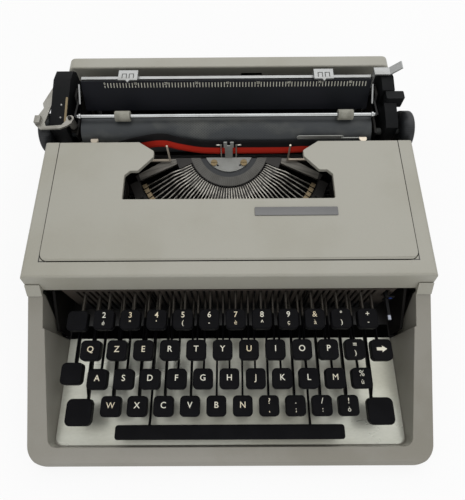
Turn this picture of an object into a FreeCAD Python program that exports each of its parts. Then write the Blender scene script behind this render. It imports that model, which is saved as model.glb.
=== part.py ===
import FreeCAD, Part

import math
import os

os.makedirs("parts", exist_ok=True)

# Portable manual typewriter, millimetres. +X to the typist's right, +Y to the rear, +Z up.
# The origin is the middle of the footprint, on the surface that the feet stand on.

# ---------------------------------------------------------------- driving dimensions
body_width = 296.0
shell_wall = 3.0
foot_height = 4.0
plan_corner_radius = 14.0

keyboard_depth = 123.8  # from the front of the case to the shoulder of the housing
shoulder_height = 78.0
parting_height = 61.0
cover_slope = 1.2  # degrees, up to the rear
housing_length = 114.2  # from the shoulder to the rear edge of the housing
carriage_bay_length = 87.0  # from there to the back of the case
fascia_lean = 4.3  # how far the foot of the front face stands in front of the shoulder
rear_wall_height = 44.0

rim_width = 11.0
rim_front_height = 15.0
well_floor_height = 9.0
well_draft = 5.0

rear_panel_height = 86.0
rear_panel_depth = 12.0
rear_panel_half_width = 140.0

cover_side_band = 12.2
cover_front_band = 11.7
cover_thickness = 2.6
cover_gap = 0.6
ledge_width = 4.0
cover_corner_radius = 6.0
well_corner_radius = 6.0

key_pitch = 19.0
key_top_size = 14.3
key_cap_height = 6.0
lever_thickness = 1.4
lever_height = 4.0
fulcrum_ahead_of_platen = 36.0
fulcrum_height = 14.0
fulcrum_radius = 1.5
running_clearance = 0.05

segment_ahead_of_platen = 12.0  # centre of the type segment's circle
segment_centre_height = 62.2
segment_tilt = 20.0
segment_radius = 46.0
slot_inner_radius = 33.5
typebar_count = 43
typebar_step = 3.1  # degrees between neighbouring typebars
typebar_head_radius = 81.0

platen_behind_housing = 20.5
platen_height = 66.0
platen_radius = 15.5
platen_half_length = 119.5
shaft_radius = 3.0
knob_radius = 16.8
knob_inner = 146.2
knob_outer = 155.0
carriage_offset = -2.0  # the carriage stands a little left of the middle at rest

spool_radius = 20.0
spool_offset = 106.0
spool_ahead_of_platen = 50.7
ribbon_width = 13.0
ribbon_thickness = 0.3
ribbon_lean = 14.0  # degrees, towards the platen
air = 0.5  # clearance between pieces that move past each other

# ---------------------------------------------------------------- places worked out
half_width = body_width / 2
body_depth = keyboard_depth + housing_length + carriage_bay_length
front_y = -body_depth / 2
rear_y = body_depth / 2
shoulder_y = front_y + keyboard_depth
housing_rear_y = shoulder_y + housing_length
platen_y = housing_rear_y + platen_behind_housing
fulcrum_y = platen_y - fulcrum_ahead_of_platen
segment_y = platen_y - segment_ahead_of_platen
rim_top_slope = (parting_height - 1 - rim_front_height) / (keyboard_depth - 12)

V = FreeCAD.Vector
X_AXIS = V(1, 0, 0)
Z_AXIS = V(0, 0, 1)


# ---------------------------------------------------------------- shape helpers
def block(x0, x1, y0, y1, z0, z1):
    return Part.makeBox(x1 - x0, y1 - y0, z1 - z0, V(x0, y0, z0))


def rod(radius, start, end):
    return Part.makeCylinder(radius, (end - start).Length, start, end - start)


def side_prism(points, x0, x1):
    """A closed (y, z) outline, extruded along X."""
    corners = [V(x0, y, z) for y, z in points]
    return Part.Face(Part.makePolygon(corners + corners[:1])).extrude(V(x1 - x0, 0, 0))


def plan_prism(points, z0, z1):
    """A closed (x, y) outline, extruded along Z."""
    corners = [V(x, y, z0) for x, y in points]
    return Part.Face(Part.makePolygon(corners + corners[:1])).extrude(V(0, 0, z1 - z0))


def rounded_block(x0, x1, y0, y1, z0, z1, radius):
    """A block whose four upright edges are rounded."""
    solid = block(x0, x1, y0, y1, z0, z1)
    upright = [e for e in solid.Edges if abs(e.tangentAt(e.FirstParameter).z) > 0.99]
    return solid.makeFillet(radius, upright)


def drafted_pocket(x_top, x_low, y0_top, y1_top, y0_low, y1_low, z_low, z_top):
    """A pocket between two rectangles, larger at the top."""
    low = [(-x_low, y0_low), (x_low, y0_low), (x_low, y1_low), (-x_low, y1_low)]
    top = [(-x_top, y0_top), (x_top, y0_top), (x_top, y1_top), (-x_top, y1_top)]
    wires = []
    for ring, z in ((low, z_low), (top, z_top)):
        corners = [V(x, y, z) for x, y in ring]
        wires.append(Part.makePolygon(corners + corners[:1]))
    return Part.makeLoft(wires, True, True)


def mirrored(solid):
    return solid.mirror(V(0, 0, 0), X_AXIS)


def save(name, shapes):
    """Writes one node; several solids are kept as separate solids of a compound."""
    solids = []
    for shape in shapes if isinstance(shapes, (list, tuple)) else [shapes]:
        solids.extend(shape.Solids)
    for solid in solids:
        assert solid.isValid() and solid.Volume > 0, name
    shape = solids[0] if len(solids) == 1 else Part.makeCompound(solids)
    shape.exportStep(os.path.join("parts", name + ".step"))
    print(name, len(solids), round(sum(s.Volume for s in solids) / 1000, 2))


def cover_plane(y):
    """Height of the housing's top surface."""
    return shoulder_height + (y - shoulder_y) * math.tan(math.radians(cover_slope))


def rim_height(y):
    return rim_front_height + (y - front_y - 3) * rim_top_slope


# ---------------------------------------------------------------- lower case
rim_end_y = front_y + 3 + (parting_height - 1 - rim_front_height) / rim_top_slope
well_rear_y = shoulder_y - 33.5
case_bottom = foot_height
bay_front_y = well_rear_y + shell_wall


def lower_case():
    outline = [
        (front_y + 2.5, case_bottom),
        (front_y, case_bottom + 3),
        (front_y, rim_front_height - 4),
        (front_y + 3, rim_front_height),
        (rim_end_y, parting_height - 1),
        (rim_end_y, parting_height),
        (housing_rear_y, parting_height),
        (housing_rear_y, rear_wall_height),
        (rear_y, rear_wall_height),
        (rear_y, case_bottom + 3),
        (rear_y - 2.5, case_bottom),
    ]
    body = side_prism(outline, -half_width, half_width)
    plan = rounded_block(
        -half_width, half_width, front_y, rear_y, 0, parting_height + 1, plan_corner_radius
    )
    body = body.common(plan)
    inner = half_width - shell_wall
    # mechanism bay, open at the top
    bay = rounded_block(
        -inner,
        inner,
        rim_end_y + 2,
        rear_y - shell_wall,
        case_bottom + shell_wall,
        parting_height + 5,
        plan_corner_radius - shell_wall,
    )
    # keyboard well, drafted walls down to the pale floor
    top_x = half_width - rim_width
    well = drafted_pocket(
        top_x,
        top_x - well_draft,
        front_y + rim_width - 1,
        rim_end_y + 4,
        front_y + rim_width + 2.5,
        rim_end_y + 4,
        well_floor_height,
        parting_height + 5,
    )
    well_corners = [
        e
        for e in well.Edges
        if e.CenterOfMass.y < front_y + 20 and abs(e.tangentAt(e.FirstParameter).z) > 0.9
    ]
    well = well.makeFillet(well_corner_radius, well_corners)
    # throat between the side rims, from the well to the fascia
    throat = block(-top_x, top_x, bay_front_y, rim_end_y + 8, case_bottom + shell_wall, 90)
    # hollow side rims, open underneath
    pocket_x0 = top_x + 2.5
    pocket_outline = [
        (front_y + 22, case_bottom - 1),
        (front_y + 22, rim_height(front_y + 22) - shell_wall),
        (bay_front_y - 3, rim_height(bay_front_y - 3) - shell_wall),
        (bay_front_y - 3, case_bottom - 1),
    ]
    pocket = side_prism(pocket_outline, pocket_x0, inner)
    # recess under the floor for the front row of feet
    under = block(
        -top_x + 14,
        top_x - 14,
        front_y + rim_width + 8,
        bay_front_y - 5,
        case_bottom - 1,
        well_floor_height - 2.5,
    )
    return body.cut([bay, well, throat, pocket, mirrored(pocket), under])


# ---------------------------------------------------------------- upper housing
cover_front_y = shoulder_y + cover_front_band
cover_half = half_width - cover_side_band


def upper_housing():
    fascia_foot_y = shoulder_y - fascia_lean
    outer = [
        (fascia_foot_y, parting_height + 0.05),
        (shoulder_y, shoulder_height),
        (housing_rear_y, cover_plane(housing_rear_y)),
        (housing_rear_y, parting_height + 0.05),
    ]
    body = side_prism(outer, -half_width, half_width)
    long_top = [
        e
        for e in body.Edges
        if abs(abs(e.CenterOfMass.x) - half_width) < 0.01 and e.CenterOfMass.z > shoulder_height
    ]
    shoulder = [
        e
        for e in body.Edges
        if abs(e.CenterOfMass.y - shoulder_y) < 0.01 and abs(e.CenterOfMass.x) < 1
    ]
    body = body.makeFillet(2.5, long_top + shoulder)
    # the foot of the front face runs forward at both ends to meet the side rims
    cheek_outline = [
        (rim_end_y - 0.2, parting_height + 0.05),
        (fascia_foot_y + 1.3, parting_height + 8),
        (fascia_foot_y + 2, parting_height + 0.05),
    ]
    cheek = side_prism(cheek_outline, half_width - rim_width, half_width)
    body = body.fuse([cheek, mirrored(cheek)])
    inner_x = half_width - shell_wall
    inner = [
        (fascia_foot_y + shell_wall - 1, parting_height - 5),
        (shoulder_y + 3, shoulder_height - shell_wall),
        (housing_rear_y + 5, cover_plane(housing_rear_y) - shell_wall),
        (housing_rear_y + 5, parting_height - 5),
    ]
    hollow = side_prism(inner, -inner_x, inner_x)
    # opening for the ribbon cover, and the ledge that carries it
    opening_half = cover_half + cover_gap
    below_cover = parting_height - 11
    above_cover = cover_plane(housing_rear_y) + 15
    rebate = [
        (cover_front_y - cover_gap, cover_plane(cover_front_y) - cover_thickness - 0.3),
        (cover_front_y - cover_gap, above_cover - 1),
        (housing_rear_y + 5, above_cover - 1),
        (housing_rear_y + 5, cover_plane(housing_rear_y + 5) - cover_thickness - 0.3),
    ]
    rebate_plan = rounded_block(
        -opening_half,
        opening_half,
        cover_front_y - cover_gap,
        housing_rear_y + 25,
        below_cover,
        above_cover,
        cover_corner_radius + cover_gap,
    )
    rebate_cut = side_prism(rebate, -opening_half, opening_half).common(rebate_plan)
    through = block(
        -opening_half + ledge_width,
        opening_half - ledge_width,
        cover_front_y + ledge_width,
        housing_rear_y + 5,
        below_cover,
        above_cover,
    )
    shell = body.cut([hollow])
    ledge_outline = [
        (cover_front_y - 4, cover_plane(cover_front_y - 4) - cover_thickness - 2.3),
        (cover_front_y - 4, cover_plane(cover_front_y - 4) - cover_thickness - 0.3),
        (housing_rear_y, cover_plane(housing_rear_y) - cover_thickness - 0.3),
        (housing_rear_y, cover_plane(housing_rear_y) - cover_thickness - 2.3),
    ]
    ledge = side_prism(ledge_outline, -inner_x, inner_x)
    shell = shell.fuse(ledge).cut([rebate_cut, through]).removeSplitter()
    return shell


# ---------------------------------------------------------------- ribbon cover
opening_rear_half = 72.0
opening_waist_half = 59.5
opening_half_width = 81.0
opening_front_y = segment_y - 61.4
opening_step_y = opening_front_y + 25.3
opening_waist_y = opening_front_y + 38.2


def ribbon_cover():
    y_end = housing_rear_y - 0.5
    outline = [
        (cover_front_y, cover_plane(cover_front_y) - cover_thickness),
        (cover_front_y, cover_plane(cover_front_y) + 0.2),
        (cover_front_y + 1.6, cover_plane(cover_front_y) + 1.0),
        (y_end, cover_plane(y_end) + 0.6),
        (y_end, cover_plane(y_end) - cover_thickness),
    ]
    plan = rounded_block(
        -cover_half,
        cover_half,
        cover_front_y,
        housing_rear_y + 25,
        parting_height - 11,
        cover_plane(housing_rear_y) + 15,
        cover_corner_radius,
    )
    plate = side_prism(outline, -cover_half, cover_half).common(plan)
    right = [
        (0, opening_front_y),
        (opening_half_width, opening_front_y),
        (opening_half_width, opening_step_y - 4),
        (opening_half_width - 4, opening_step_y),
        (opening_half_width - 10, opening_step_y),
        (opening_waist_half, opening_waist_y),
        (opening_waist_half, opening_waist_y + 5.5),
        (opening_rear_half, y_end),
        (opening_rear_half, y_end + 5),
        (0, y_end + 5),
    ]
    left = [(-x, y) for x, y in reversed(right)]
    window = plan_prism(right + left[1:-1], parting_height - 11, cover_plane(housing_rear_y) + 15)
    upright = [
        e
        for e in window.Edges
        if abs(e.tangentAt(e.FirstParameter).z) > 0.99 and e.CenterOfMass.y < y_end - 1
    ]
    window = window.makeFillet(1.6, upright)
    skirt = side_prism(
        [
            (opening_front_y - 3, cover_plane(opening_front_y) - cover_thickness - 4),
            (opening_front_y - 3, cover_plane(opening_front_y) - cover_thickness),
            (opening_front_y - 1, cover_plane(opening_front_y) - cover_thickness),
            (opening_front_y - 1, cover_plane(opening_front_y) - cover_thickness - 4),
        ],
        -opening_half_width - 3,
        opening_half_width + 3,
    )
    return plate.fuse(skirt).cut([window]).removeSplitter()


# ---------------------------------------------------------------- rear panel
def rear_panel():
    y0 = rear_y - rear_panel_depth
    outer = block(
        -rear_panel_half_width,
        rear_panel_half_width,
        y0,
        rear_y,
        rear_wall_height + 0.05,
        rear_panel_height,
    )
    ends = [
        e
        for e in outer.Edges
        if e.CenterOfMass.z > rear_panel_height - 0.01 and abs(e.CenterOfMass.x) > 100
    ]
    outer = outer.makeFillet(6, ends)
    top_long = [
        e
        for e in outer.Edges
        if e.CenterOfMass.z > rear_panel_height - 0.01 and abs(e.CenterOfMass.x) < 1
    ]
    outer = outer.makeFillet(1.5, top_long)
    hollow = block(
        -rear_panel_half_width + shell_wall,
        rear_panel_half_width - shell_wall,
        y0 + shell_wall,
        rear_y - shell_wall,
        rear_wall_height - 5,
        rear_panel_height - shell_wall,
    )
    slot = block(10, 23, y0 - 1, y0 + shell_wall + 1, rear_panel_height - 11, rear_panel_height - 9)
    # the front wall stops above the case so that the mechanism bay stays open to it
    relief = block(
        -rear_panel_half_width + 12,
        rear_panel_half_width - 12,
        y0 - 1,
        y0 + shell_wall + 0.5,
        rear_wall_height - 5,
        rear_wall_height + 8,
    )
    return outer.cut([hollow, slot, relief])


# ---------------------------------------------------------------- feet and screws
foot_radius = 9.0
foot_x = half_width - 24
foot_rows = (front_y + 14, rear_y - 22)
screw_radius = 2.0
screw_head_radius = 3.6


def foot_places():
    return [(sx * foot_x, y) for y in foot_rows for sx in (-1, 1)]


def rubber_feet():
    feet = []
    for x, y in foot_places():
        foot = Part.makeCone(foot_radius - 1.2, foot_radius, foot_height, V(x, y, 0))
        recess = Part.makeCylinder(screw_head_radius + 0.6, 1.8, V(x, y, 0))
        bore = Part.makeCylinder(screw_radius + 0.2, foot_height, V(x, y, 0))
        feet.append(foot.cut([recess, bore]))
    return feet


def foot_screws():
    screws = []
    for x, y in foot_places():
        head = Part.makeCylinder(screw_head_radius, 1.2, V(x, y, 0.5))
        shank = Part.makeCylinder(screw_radius, foot_height - 1.75, V(x, y, 1.7))
        slot = block(x - screw_head_radius, x + screw_head_radius, y - 0.4, y + 0.4, 0.4, 1.0)
        screws.append(head.fuse(shank).cut([slot]))
    return screws


def slotted_head(radius, x, y, z, height):
    head = Part.makeCylinder(radius, height, V(x, y, z))
    return head.cut([block(x - radius, x + radius, y - 0.35, y + 0.35, z + height - 0.6, z + height)])


# ---------------------------------------------------------------- main frame and rails
plate_offset = half_width - 15
plate_thickness = 2.0
rail_front_y = platen_y - 6
rail_rear_y = platen_y + 26
rail_width = 6.0
rail_low = rear_wall_height - 1
rail_top = 48.8
floor_z = foot_height + shell_wall
post_x = 109.0
post_y = platen_y - 18.7
hook_x = 49.8
hook_y = platen_y - 23.9


def main_frame():
    solids = []
    side = [
        (bay_front_y + 3, floor_z),
        (bay_front_y + 3, 30),
        (shoulder_y + 6, parting_height - 4),
        (housing_rear_y - 24, parting_height - 4),
        (housing_rear_y - 8, parting_height - 12),
        (housing_rear_y - 2, rear_wall_height - 1),
        (rail_rear_y + rail_width + 4, rear_wall_height - 1),
        (rail_rear_y + rail_width + 4, floor_z),
    ]
    plate = side_prism(side, plate_offset, plate_offset + plate_thickness)
    window = block(plate_offset - 1, plate_offset + 4, shoulder_y + 30, fulcrum_y - 12, 20, 44)
    bore = rod(fulcrum_radius, V(plate_offset - 1, fulcrum_y, fulcrum_height),
               V(plate_offset + 4, fulcrum_y, fulcrum_height))
    plate = plate.cut([window, bore])
    solids += [plate, mirrored(plate)]
    # the wire that all key levers turn on
    solids.append(
        rod(
            fulcrum_radius,
            V(-plate_offset - plate_thickness, fulcrum_y, fulcrum_height),
            V(plate_offset + plate_thickness, fulcrum_y, fulcrum_height),
        )
    )
    # cross ties between the side plates, under the levers
    for y in (shoulder_y + 60, fulcrum_y + 16, rail_rear_y - 2):
        solids.append(block(-plate_offset, plate_offset, y, y + 9, floor_z, floor_z + 1.6))
    # carriage rails, on the side plates; the front one also carries the ribbon posts
    for y in (rail_front_y, rail_rear_y):
        solids.append(
            block(-plate_offset - 4, plate_offset + 4, y, y + rail_width, rail_low, rail_top)
        )
    solids += ribbon_post(-1) + ribbon_post(1)
    # spool tables and the bent posts that guide the ribbon
    for side_sign in (-1, 1):
        x = side_sign * spool_offset
        table = Part.makeCylinder(spool_radius + 2, 1.6, V(x, spool_y, spool_low - 2.4))
        arm = block(
            min(x, side_sign * plate_offset),
            max(x, side_sign * plate_offset),
            spool_y - 8,
            spool_y + 8,
            spool_low - 4.0,
            spool_low - 2.4,
        )
        pin = Part.makeCylinder(spool_pin_radius, spool_height + 3, V(x, spool_y, spool_low - 0.8))
        solids += [table, arm, pin]
    return solids


def ribbon_post(side_sign):
    """Bracket on the front rail, a headed post on it, and the wire hook that guides the ribbon."""
    x = side_sign * post_x
    stem_radius = 1.2
    wire_radius = 0.8
    head_low = cover_plane(housing_rear_y) - 2.2
    bracket_top = rail_low + 1.6
    bracket = block(x - 3, x + 3, post_y - stem_radius, rail_front_y, rail_low, bracket_top)
    stem = rod(stem_radius, V(x, post_y, bracket_top), V(x, post_y, head_low))
    head = Part.makeCylinder(3.0, 1.4, V(x, post_y + 1.1, head_low))
    wire_low = spool_low + 4
    wire_top = wire_low + 2 * wire_radius
    link = block(x - 0.9, x + 0.9, hook_y + wire_radius, post_y - stem_radius, wire_low, wire_top)
    wire_end = side_sign * (hook_x - wire_radius)
    wire_start = x + side_sign * 0.9
    wire = block(min(wire_start, wire_end), max(wire_start, wire_end), hook_y - wire_radius,
                 hook_y + wire_radius, wire_low, wire_top)
    hook_at = side_sign * hook_x
    hook = rod(wire_radius, V(hook_at, hook_y, wire_top), V(hook_at, hook_y, head_low + 1.2))
    return [bracket, stem, head, link, wire, hook]


# ---------------------------------------------------------------- key comb
comb_y = shoulder_y - 4.2
comb_thickness = 1.8
comb_low = floor_z + 0.05
comb_high = parting_height - 1.5
comb_half = half_width - 24
thinnest_tooth = 0.175
slot_width = key_pitch / 8 - thinnest_tooth  # the space bar's levers run between two keys' levers
selector_x = 118.8
selector_slot = 3.4
selector_slot_low = 42.0


def row_x(offset, count):
    first = -4.75 * key_pitch + offset * key_pitch
    return [first + i * key_pitch for i in range(count)]


key_rows = {
    "number": dict(x=row_x(0, 11), back=26.2, top=60.0, comb=49.0),
    "upper": dict(x=row_x(-0.5, 11), back=46.6, top=52.2, comb=43.0),
    "home": dict(x=row_x(-0.25, 11), back=65.7, top=44.4, comb=34.0),
    "bottom": dict(x=row_x(0.25, 10), back=83.7, top=36.5, comb=31.0),
}
shift_x = 5.75 * key_pitch - 1
shift_lever_x = 5.5 * key_pitch
lock_x = 6 * key_pitch
space_lever_x = (-3.125 * key_pitch, 3.125 * key_pitch)


def lever_slots():
    xs = []
    for row in key_rows.values():
        xs += row["x"]
    xs += [-shift_lever_x, shift_lever_x, -5.75 * key_pitch, 5.75 * key_pitch, -lock_x]
    return xs + list(space_lever_x)


def key_comb():
    """Slotted guide plate: two long strips and the teeth between the lever slots."""
    slot_low = floor_z + 1.5
    slot_high = comb_high - 3
    rear_y = comb_y + comb_thickness

    def strip(x0, x1, z0, z1):
        return block(x0, x1, comb_y, rear_y, z0, z1)

    solids = [strip(-comb_half, comb_half, slot_high, comb_high)]
    solids.append(strip(-comb_half, comb_half, comb_low, slot_low))
    solids.append(block(-comb_half, comb_half, rear_y, comb_y + 12, comb_low, comb_low + 1.2))
    edge = -comb_half
    for x in sorted(lever_slots()):
        solids.append(strip(edge, x - slot_width / 2, slot_low, slot_high))
        edge = x + slot_width / 2
    # the colour selector's slot is the last one; it is wider and shorter
    solids.append(strip(edge, selector_x - selector_slot / 2, slot_low, slot_high))
    solids.append(strip(selector_x - selector_slot / 2, selector_x + selector_slot / 2, slot_low,
                        selector_slot_low))
    solids.append(strip(selector_x + selector_slot / 2, comb_half, slot_low, slot_high))
    return solids


# ---------------------------------------------------------------- keys
low_run_height = 18.0
low_run_y = comb_y + 24


def lever(x, front, top_z, comb_z):
    """A pressed-steel key lever: under the cap, through the comb, low along the floor to the wire."""
    h = lever_height
    outline = [
        (front, top_z - h),
        (front, top_z),
        (front + 7, top_z),
        (front + 14, comb_z + h / 2),
        (comb_y, comb_z + h / 2),
        (comb_y + 6, comb_z + h / 2 - 1),
        (low_run_y, low_run_height),
        (fulcrum_y, fulcrum_height + h),
        (fulcrum_y, fulcrum_height - h),
        (low_run_y - 3, low_run_height - h),
        (comb_y + 3, comb_z - h / 2 - 2),
        (comb_y, comb_z - h / 2),
    ]
    strip = side_prism(outline, x - lever_thickness / 2, x + lever_thickness / 2)
    eye = rod(
        h,
        V(x - lever_thickness / 2, fulcrum_y, fulcrum_height),
        V(x + lever_thickness / 2, fulcrum_y, fulcrum_height),
    )
    bore = rod(
        fulcrum_radius + running_clearance,
        V(x - 5, fulcrum_y, fulcrum_height),
        V(x + 5, fulcrum_y, fulcrum_height),
    )
    return strip.fuse(eye).removeSplitter().cut([bore])


cap_corner = 0.22  # of the cap's size
cap_edge = 0.8
dish_depth = 0.5


def cap(x, y, top, size):
    """A keytop: square with round corners, softened edges and a shallow dish for the fingertip."""
    half = size / 2
    body = rounded_block(
        x - half, x + half, y - half, y + half, top - key_cap_height, top, size * cap_corner
    )
    rim = [e for e in body.Edges if abs(e.CenterOfMass.z - top) < 0.01]
    body = body.makeFillet(cap_edge, rim)
    reach = half - cap_edge - 0.4
    sphere_radius = (reach * reach + dish_depth * dish_depth) / (2 * dish_depth)
    dish = Part.makeSphere(sphere_radius, V(x, y, top - dish_depth + sphere_radius))
    return body.cut([dish])


def character_key(row, index):
    data = key_rows[row]
    x = data["x"][index]
    y = shoulder_y - data["back"]
    keytop = cap(x, y, data["top"], key_top_size)
    return [keytop, lever(x, y - 4, data["top"] - key_cap_height, data["comb"])]


shift_size = 18.5
shift_back = 87.5
shift_top = 35.5


bail_y_back = 7.0  # the shift bail's distance behind the fulcrum wire
bail_radius = 1.4


def shift_keys():
    """Both shift keys, their levers, and the bar behind the fulcrum that ties them together."""
    solids = []
    y = shoulder_y - shift_back
    half = lever_thickness / 2
    for side_sign in (-1, 1):
        arm_x = side_sign * shift_lever_x
        solids.append(cap(side_sign * shift_x, y, shift_top, shift_size))
        tail = block(arm_x - half, arm_x + half, fulcrum_y + fulcrum_radius + 1,
                     fulcrum_y + bail_y_back + bail_radius + 0.6,
                     fulcrum_height - 2, fulcrum_height + 2)
        arm = lever(arm_x, y + 4, shift_top - key_cap_height, 32.0)
        solids.append(arm.fuse(tail).removeSplitter())
    inner = shift_lever_x - half
    solids.append(rod(bail_radius, V(-inner, fulcrum_y + bail_y_back, fulcrum_height),
                      V(inner, fulcrum_y + bail_y_back, fulcrum_height)))
    return solids


lock_back = 61.7
lock_size = 15.5


def shift_lock():
    y = shoulder_y - lock_back
    return [cap(-lock_x, y, 44.0, lock_size), lever(-lock_x, y - 3, 44.0 - key_cap_height, 37.0)]


def margin_release_key():
    x = -5.75 * key_pitch
    y = shoulder_y - 26.9
    return [cap(x, y, 60.0, key_top_size), lever(x, y - 4, 60.0 - key_cap_height, 49.0)]


def backspace_key():
    x = 5.75 * key_pitch
    y = shoulder_y - 47.2
    return [cap(x, y, 52.0, 15.0), lever(x, y - 4, 52.0 - key_cap_height, 43.0)]


space_back = 100.9
space_top = 27.0
space_length = 166.0
space_depth = 10.0
space_cap_height = 5.0


def space_bar():
    y = shoulder_y - space_back
    bar = rounded_block(
        -space_length / 2,
        space_length / 2,
        y - space_depth / 2,
        y + space_depth / 2,
        space_top - space_cap_height,
        space_top,
        2.2,
    )
    rim = [e for e in bar.Edges if abs(e.CenterOfMass.z - space_top) < 0.01]
    bar = bar.makeFillet(cap_edge, rim)
    solids = [bar]
    for x in space_lever_x:
        solids.append(lever(x, y - 3, space_top - space_cap_height, 18.0))
    return solids


# ---------------------------------------------------------------- type basket
def in_segment(solid):
    """Places a shape drawn flat about the origin on the tilted segment circle."""
    placed = solid.copy()
    placed.rotate(V(0, 0, 0), X_AXIS, segment_tilt)
    placed.translate(V(0, segment_y, segment_centre_height))
    return placed


def half_disc(radius, z0, z1, back):
    disc = Part.makeCylinder(radius, z1 - z0, V(0, 0, z0))
    return disc.cut([block(-radius - 1, radius + 1, back, radius + 1, z0 - 1, z1 + 1)])


segment_back = -7.5
rest_radius = typebar_head_radius + 1.2
vibrator_x = 6.3
slot_angles = [
    (i - (typebar_count - 1) / 2) * typebar_step for i in range(typebar_count)
]
wing_span = 78.0


ribbon_low_y = platen_y - 18.85
wire_radius = 0.6
vibrator_y = ribbon_low_y - 1.1
basket_back_y = vibrator_y - wire_radius - 0.4


def square_back(solid):
    """Cuts the basket's back upright, so that it shifts down past the ribbon carrier's wires."""
    box = solid.BoundBox
    behind = block(box.XMin - 1, box.XMax + 1, basket_back_y, box.YMax + 1, box.ZMin - 1, box.ZMax + 1)
    return solid.cut([behind]).removeSplitter()


def type_segment():
    body = half_disc(segment_radius, -7, -1.2, segment_back)
    ring = half_disc(slot_inner_radius, -1.2, 0, segment_back)
    step = half_disc(26, -0.8, 1, segment_back + 1)
    body = body.fuse(ring).cut([step])
    fins = half_disc(segment_radius, -1.2, 0, segment_back).cut(
        [Part.makeCylinder(slot_inner_radius, 4, V(0, 0, -2))]
    )
    body = body.fuse(fins)
    # cast wings that carry the segment out to the rest
    wing = plan_prism(
        [
            (34, segment_back - 1),
            (50, segment_back - 1),
            (wing_span + 2, segment_back - 17),
            (wing_span - 0.5, segment_back - 21.5),
            (46, segment_back - 7.5),
        ],
        -5,
        -1,
    )
    rest_arm = plan_prism(
        [
            (wing_span - 1, segment_back - 20),
            (wing_span + 7, segment_back - 24),
            (wing_span + 1, segment_back - 38.5),
            (wing_span - 4.5, segment_back - 34.5),
        ],
        -9,
        -3,
    )
    # the curved rest that the type slugs lie against
    arch = half_disc(rest_radius + 3, -7, -4, segment_back - 24)
    arch = arch.cut([Part.makeCylinder(rest_radius, 6, V(0, 0, -8))])
    body = body.fuse([wing, mirrored(wing), rest_arm, mirrored(rest_arm), arch])
    slots = []
    for angle in slot_angles:
        slot = block(-0.75, 0.75, -segment_radius - 2, -slot_inner_radius - 0.6, -5.6, 3)
        slot.rotate(V(0, 0, 0), Z_AXIS, angle)
        slots.append(slot)
    return square_back(in_segment(body.cut(slots).removeSplitter()))


def typebars():
    """Typebars at rest: a thin bar out of its slot, humped, with a type slug at its end."""
    bars = []
    for angle in slot_angles:
        bar_outline = [
            (-slot_inner_radius - 2, -4.6),
            (-slot_inner_radius - 2, -1.4),
            (-segment_radius + 1, -1.2),
            (-segment_radius - 7, 1.6),
            (-segment_radius - 12, 0.2),
            (-typebar_head_radius + 4, -3.4),
            (-typebar_head_radius + 4, -5.8),
            (-segment_radius - 2, -4.6),
        ]
        bar = side_prism(bar_outline, -0.4, 0.4)
        slug = block(
            -1.7, 1.7, -typebar_head_radius, -typebar_head_radius + 4, -8.6, -1.4
        )
        for piece in (bar, slug):
            piece.rotate(V(0, 0, 0), Z_AXIS, angle)
        bars.append(in_segment(bar.fuse(slug)))
    return bars


guide_half_width = 21.6
fork_height = 18.5
fork_lean = 6.0


def type_guide():
    plate = half_disc(guide_half_width, -0.8, 0.4, segment_back)
    holes = [Part.makeCylinder(0.9, 3, V(s * 9.5, segment_back - 8.6, -2)) for s in (-1, 1)]
    plate = square_back(in_segment(plate.cut(holes)))
    base_y = segment_y + segment_back * math.cos(math.radians(segment_tilt)) - 2.3
    base_z = segment_centre_height + segment_back * math.sin(math.radians(segment_tilt)) - 0.6
    fork = plan_prism(
        [(-3.2, 0), (3.2, 0), (3.2, 0.9), (-3.2, 0.9)], 0, fork_height
    )
    head = plan_prism([(-4.1, 0), (4.1, 0), (4.1, 0.9), (-4.1, 0.9)], fork_height - 6, fork_height)
    notch = plan_prism([(-1.3, -1), (1.3, -1), (1.3, 3), (-1.3, 3)], fork_height - 4, fork_height + 1)
    fork = fork.fuse(head).cut([notch]).removeSplitter()
    fork.rotate(V(0, 0, 0), X_AXIS, -fork_lean)
    fork.translate(V(0, base_y, base_z))
    screws = [in_segment(slotted_head(2.7, s * 12.6, segment_back - 6.4, 0.42, 1.1)) for s in (-1, 1)]
    return [plate.cut([fork]), fork] + screws


# ---------------------------------------------------------------- ribbon, spools and vibrator
spool_y = platen_y - spool_ahead_of_platen
spool_low = 55.0
spool_height = 15.0
spool_pin_radius = 2.4
ribbon_low_z = platen_height - 4.0
ribbon_hump = 8.5  # the slack left run rides up behind its wire hook


def spool():
    flange = 0.8
    low = Part.makeCylinder(spool_radius, flange)
    high = Part.makeCylinder(spool_radius, flange, V(0, 0, spool_height - flange))
    core = Part.makeCylinder(spool_radius * 0.8, spool_height)
    windows = []
    for i in range(3):
        window = Part.makeCylinder(3.2, flange * 4, V(spool_radius * 0.62, 0, spool_height - flange))
        window.rotate(V(0, 0, 0), Z_AXIS, 120 * i)
        windows.append(window)
    bore = Part.makeCylinder(spool_pin_radius + running_clearance, spool_height * 2, V(0, 0, -1))
    return low.fuse([high, core]).removeSplitter().cut(windows + [bore])


def spool_at(side_sign):
    placed = spool()
    placed.translate(V(side_sign * spool_offset, spool_y, spool_low))
    return placed


def ribbon_section(x, y, z, lean):
    """Outline of the band where it crosses the plane at x; its top edge leans to the platen."""
    along = V(0, math.sin(math.radians(lean)), math.cos(math.radians(lean))) * ribbon_width
    across = V(0, ribbon_thickness, 0)
    corner = V(x, y - ribbon_thickness / 2, z)
    ring = [corner, corner + across, corner + across + along, corner + along]
    return Part.makePolygon(ring + ring[:1])


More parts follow.
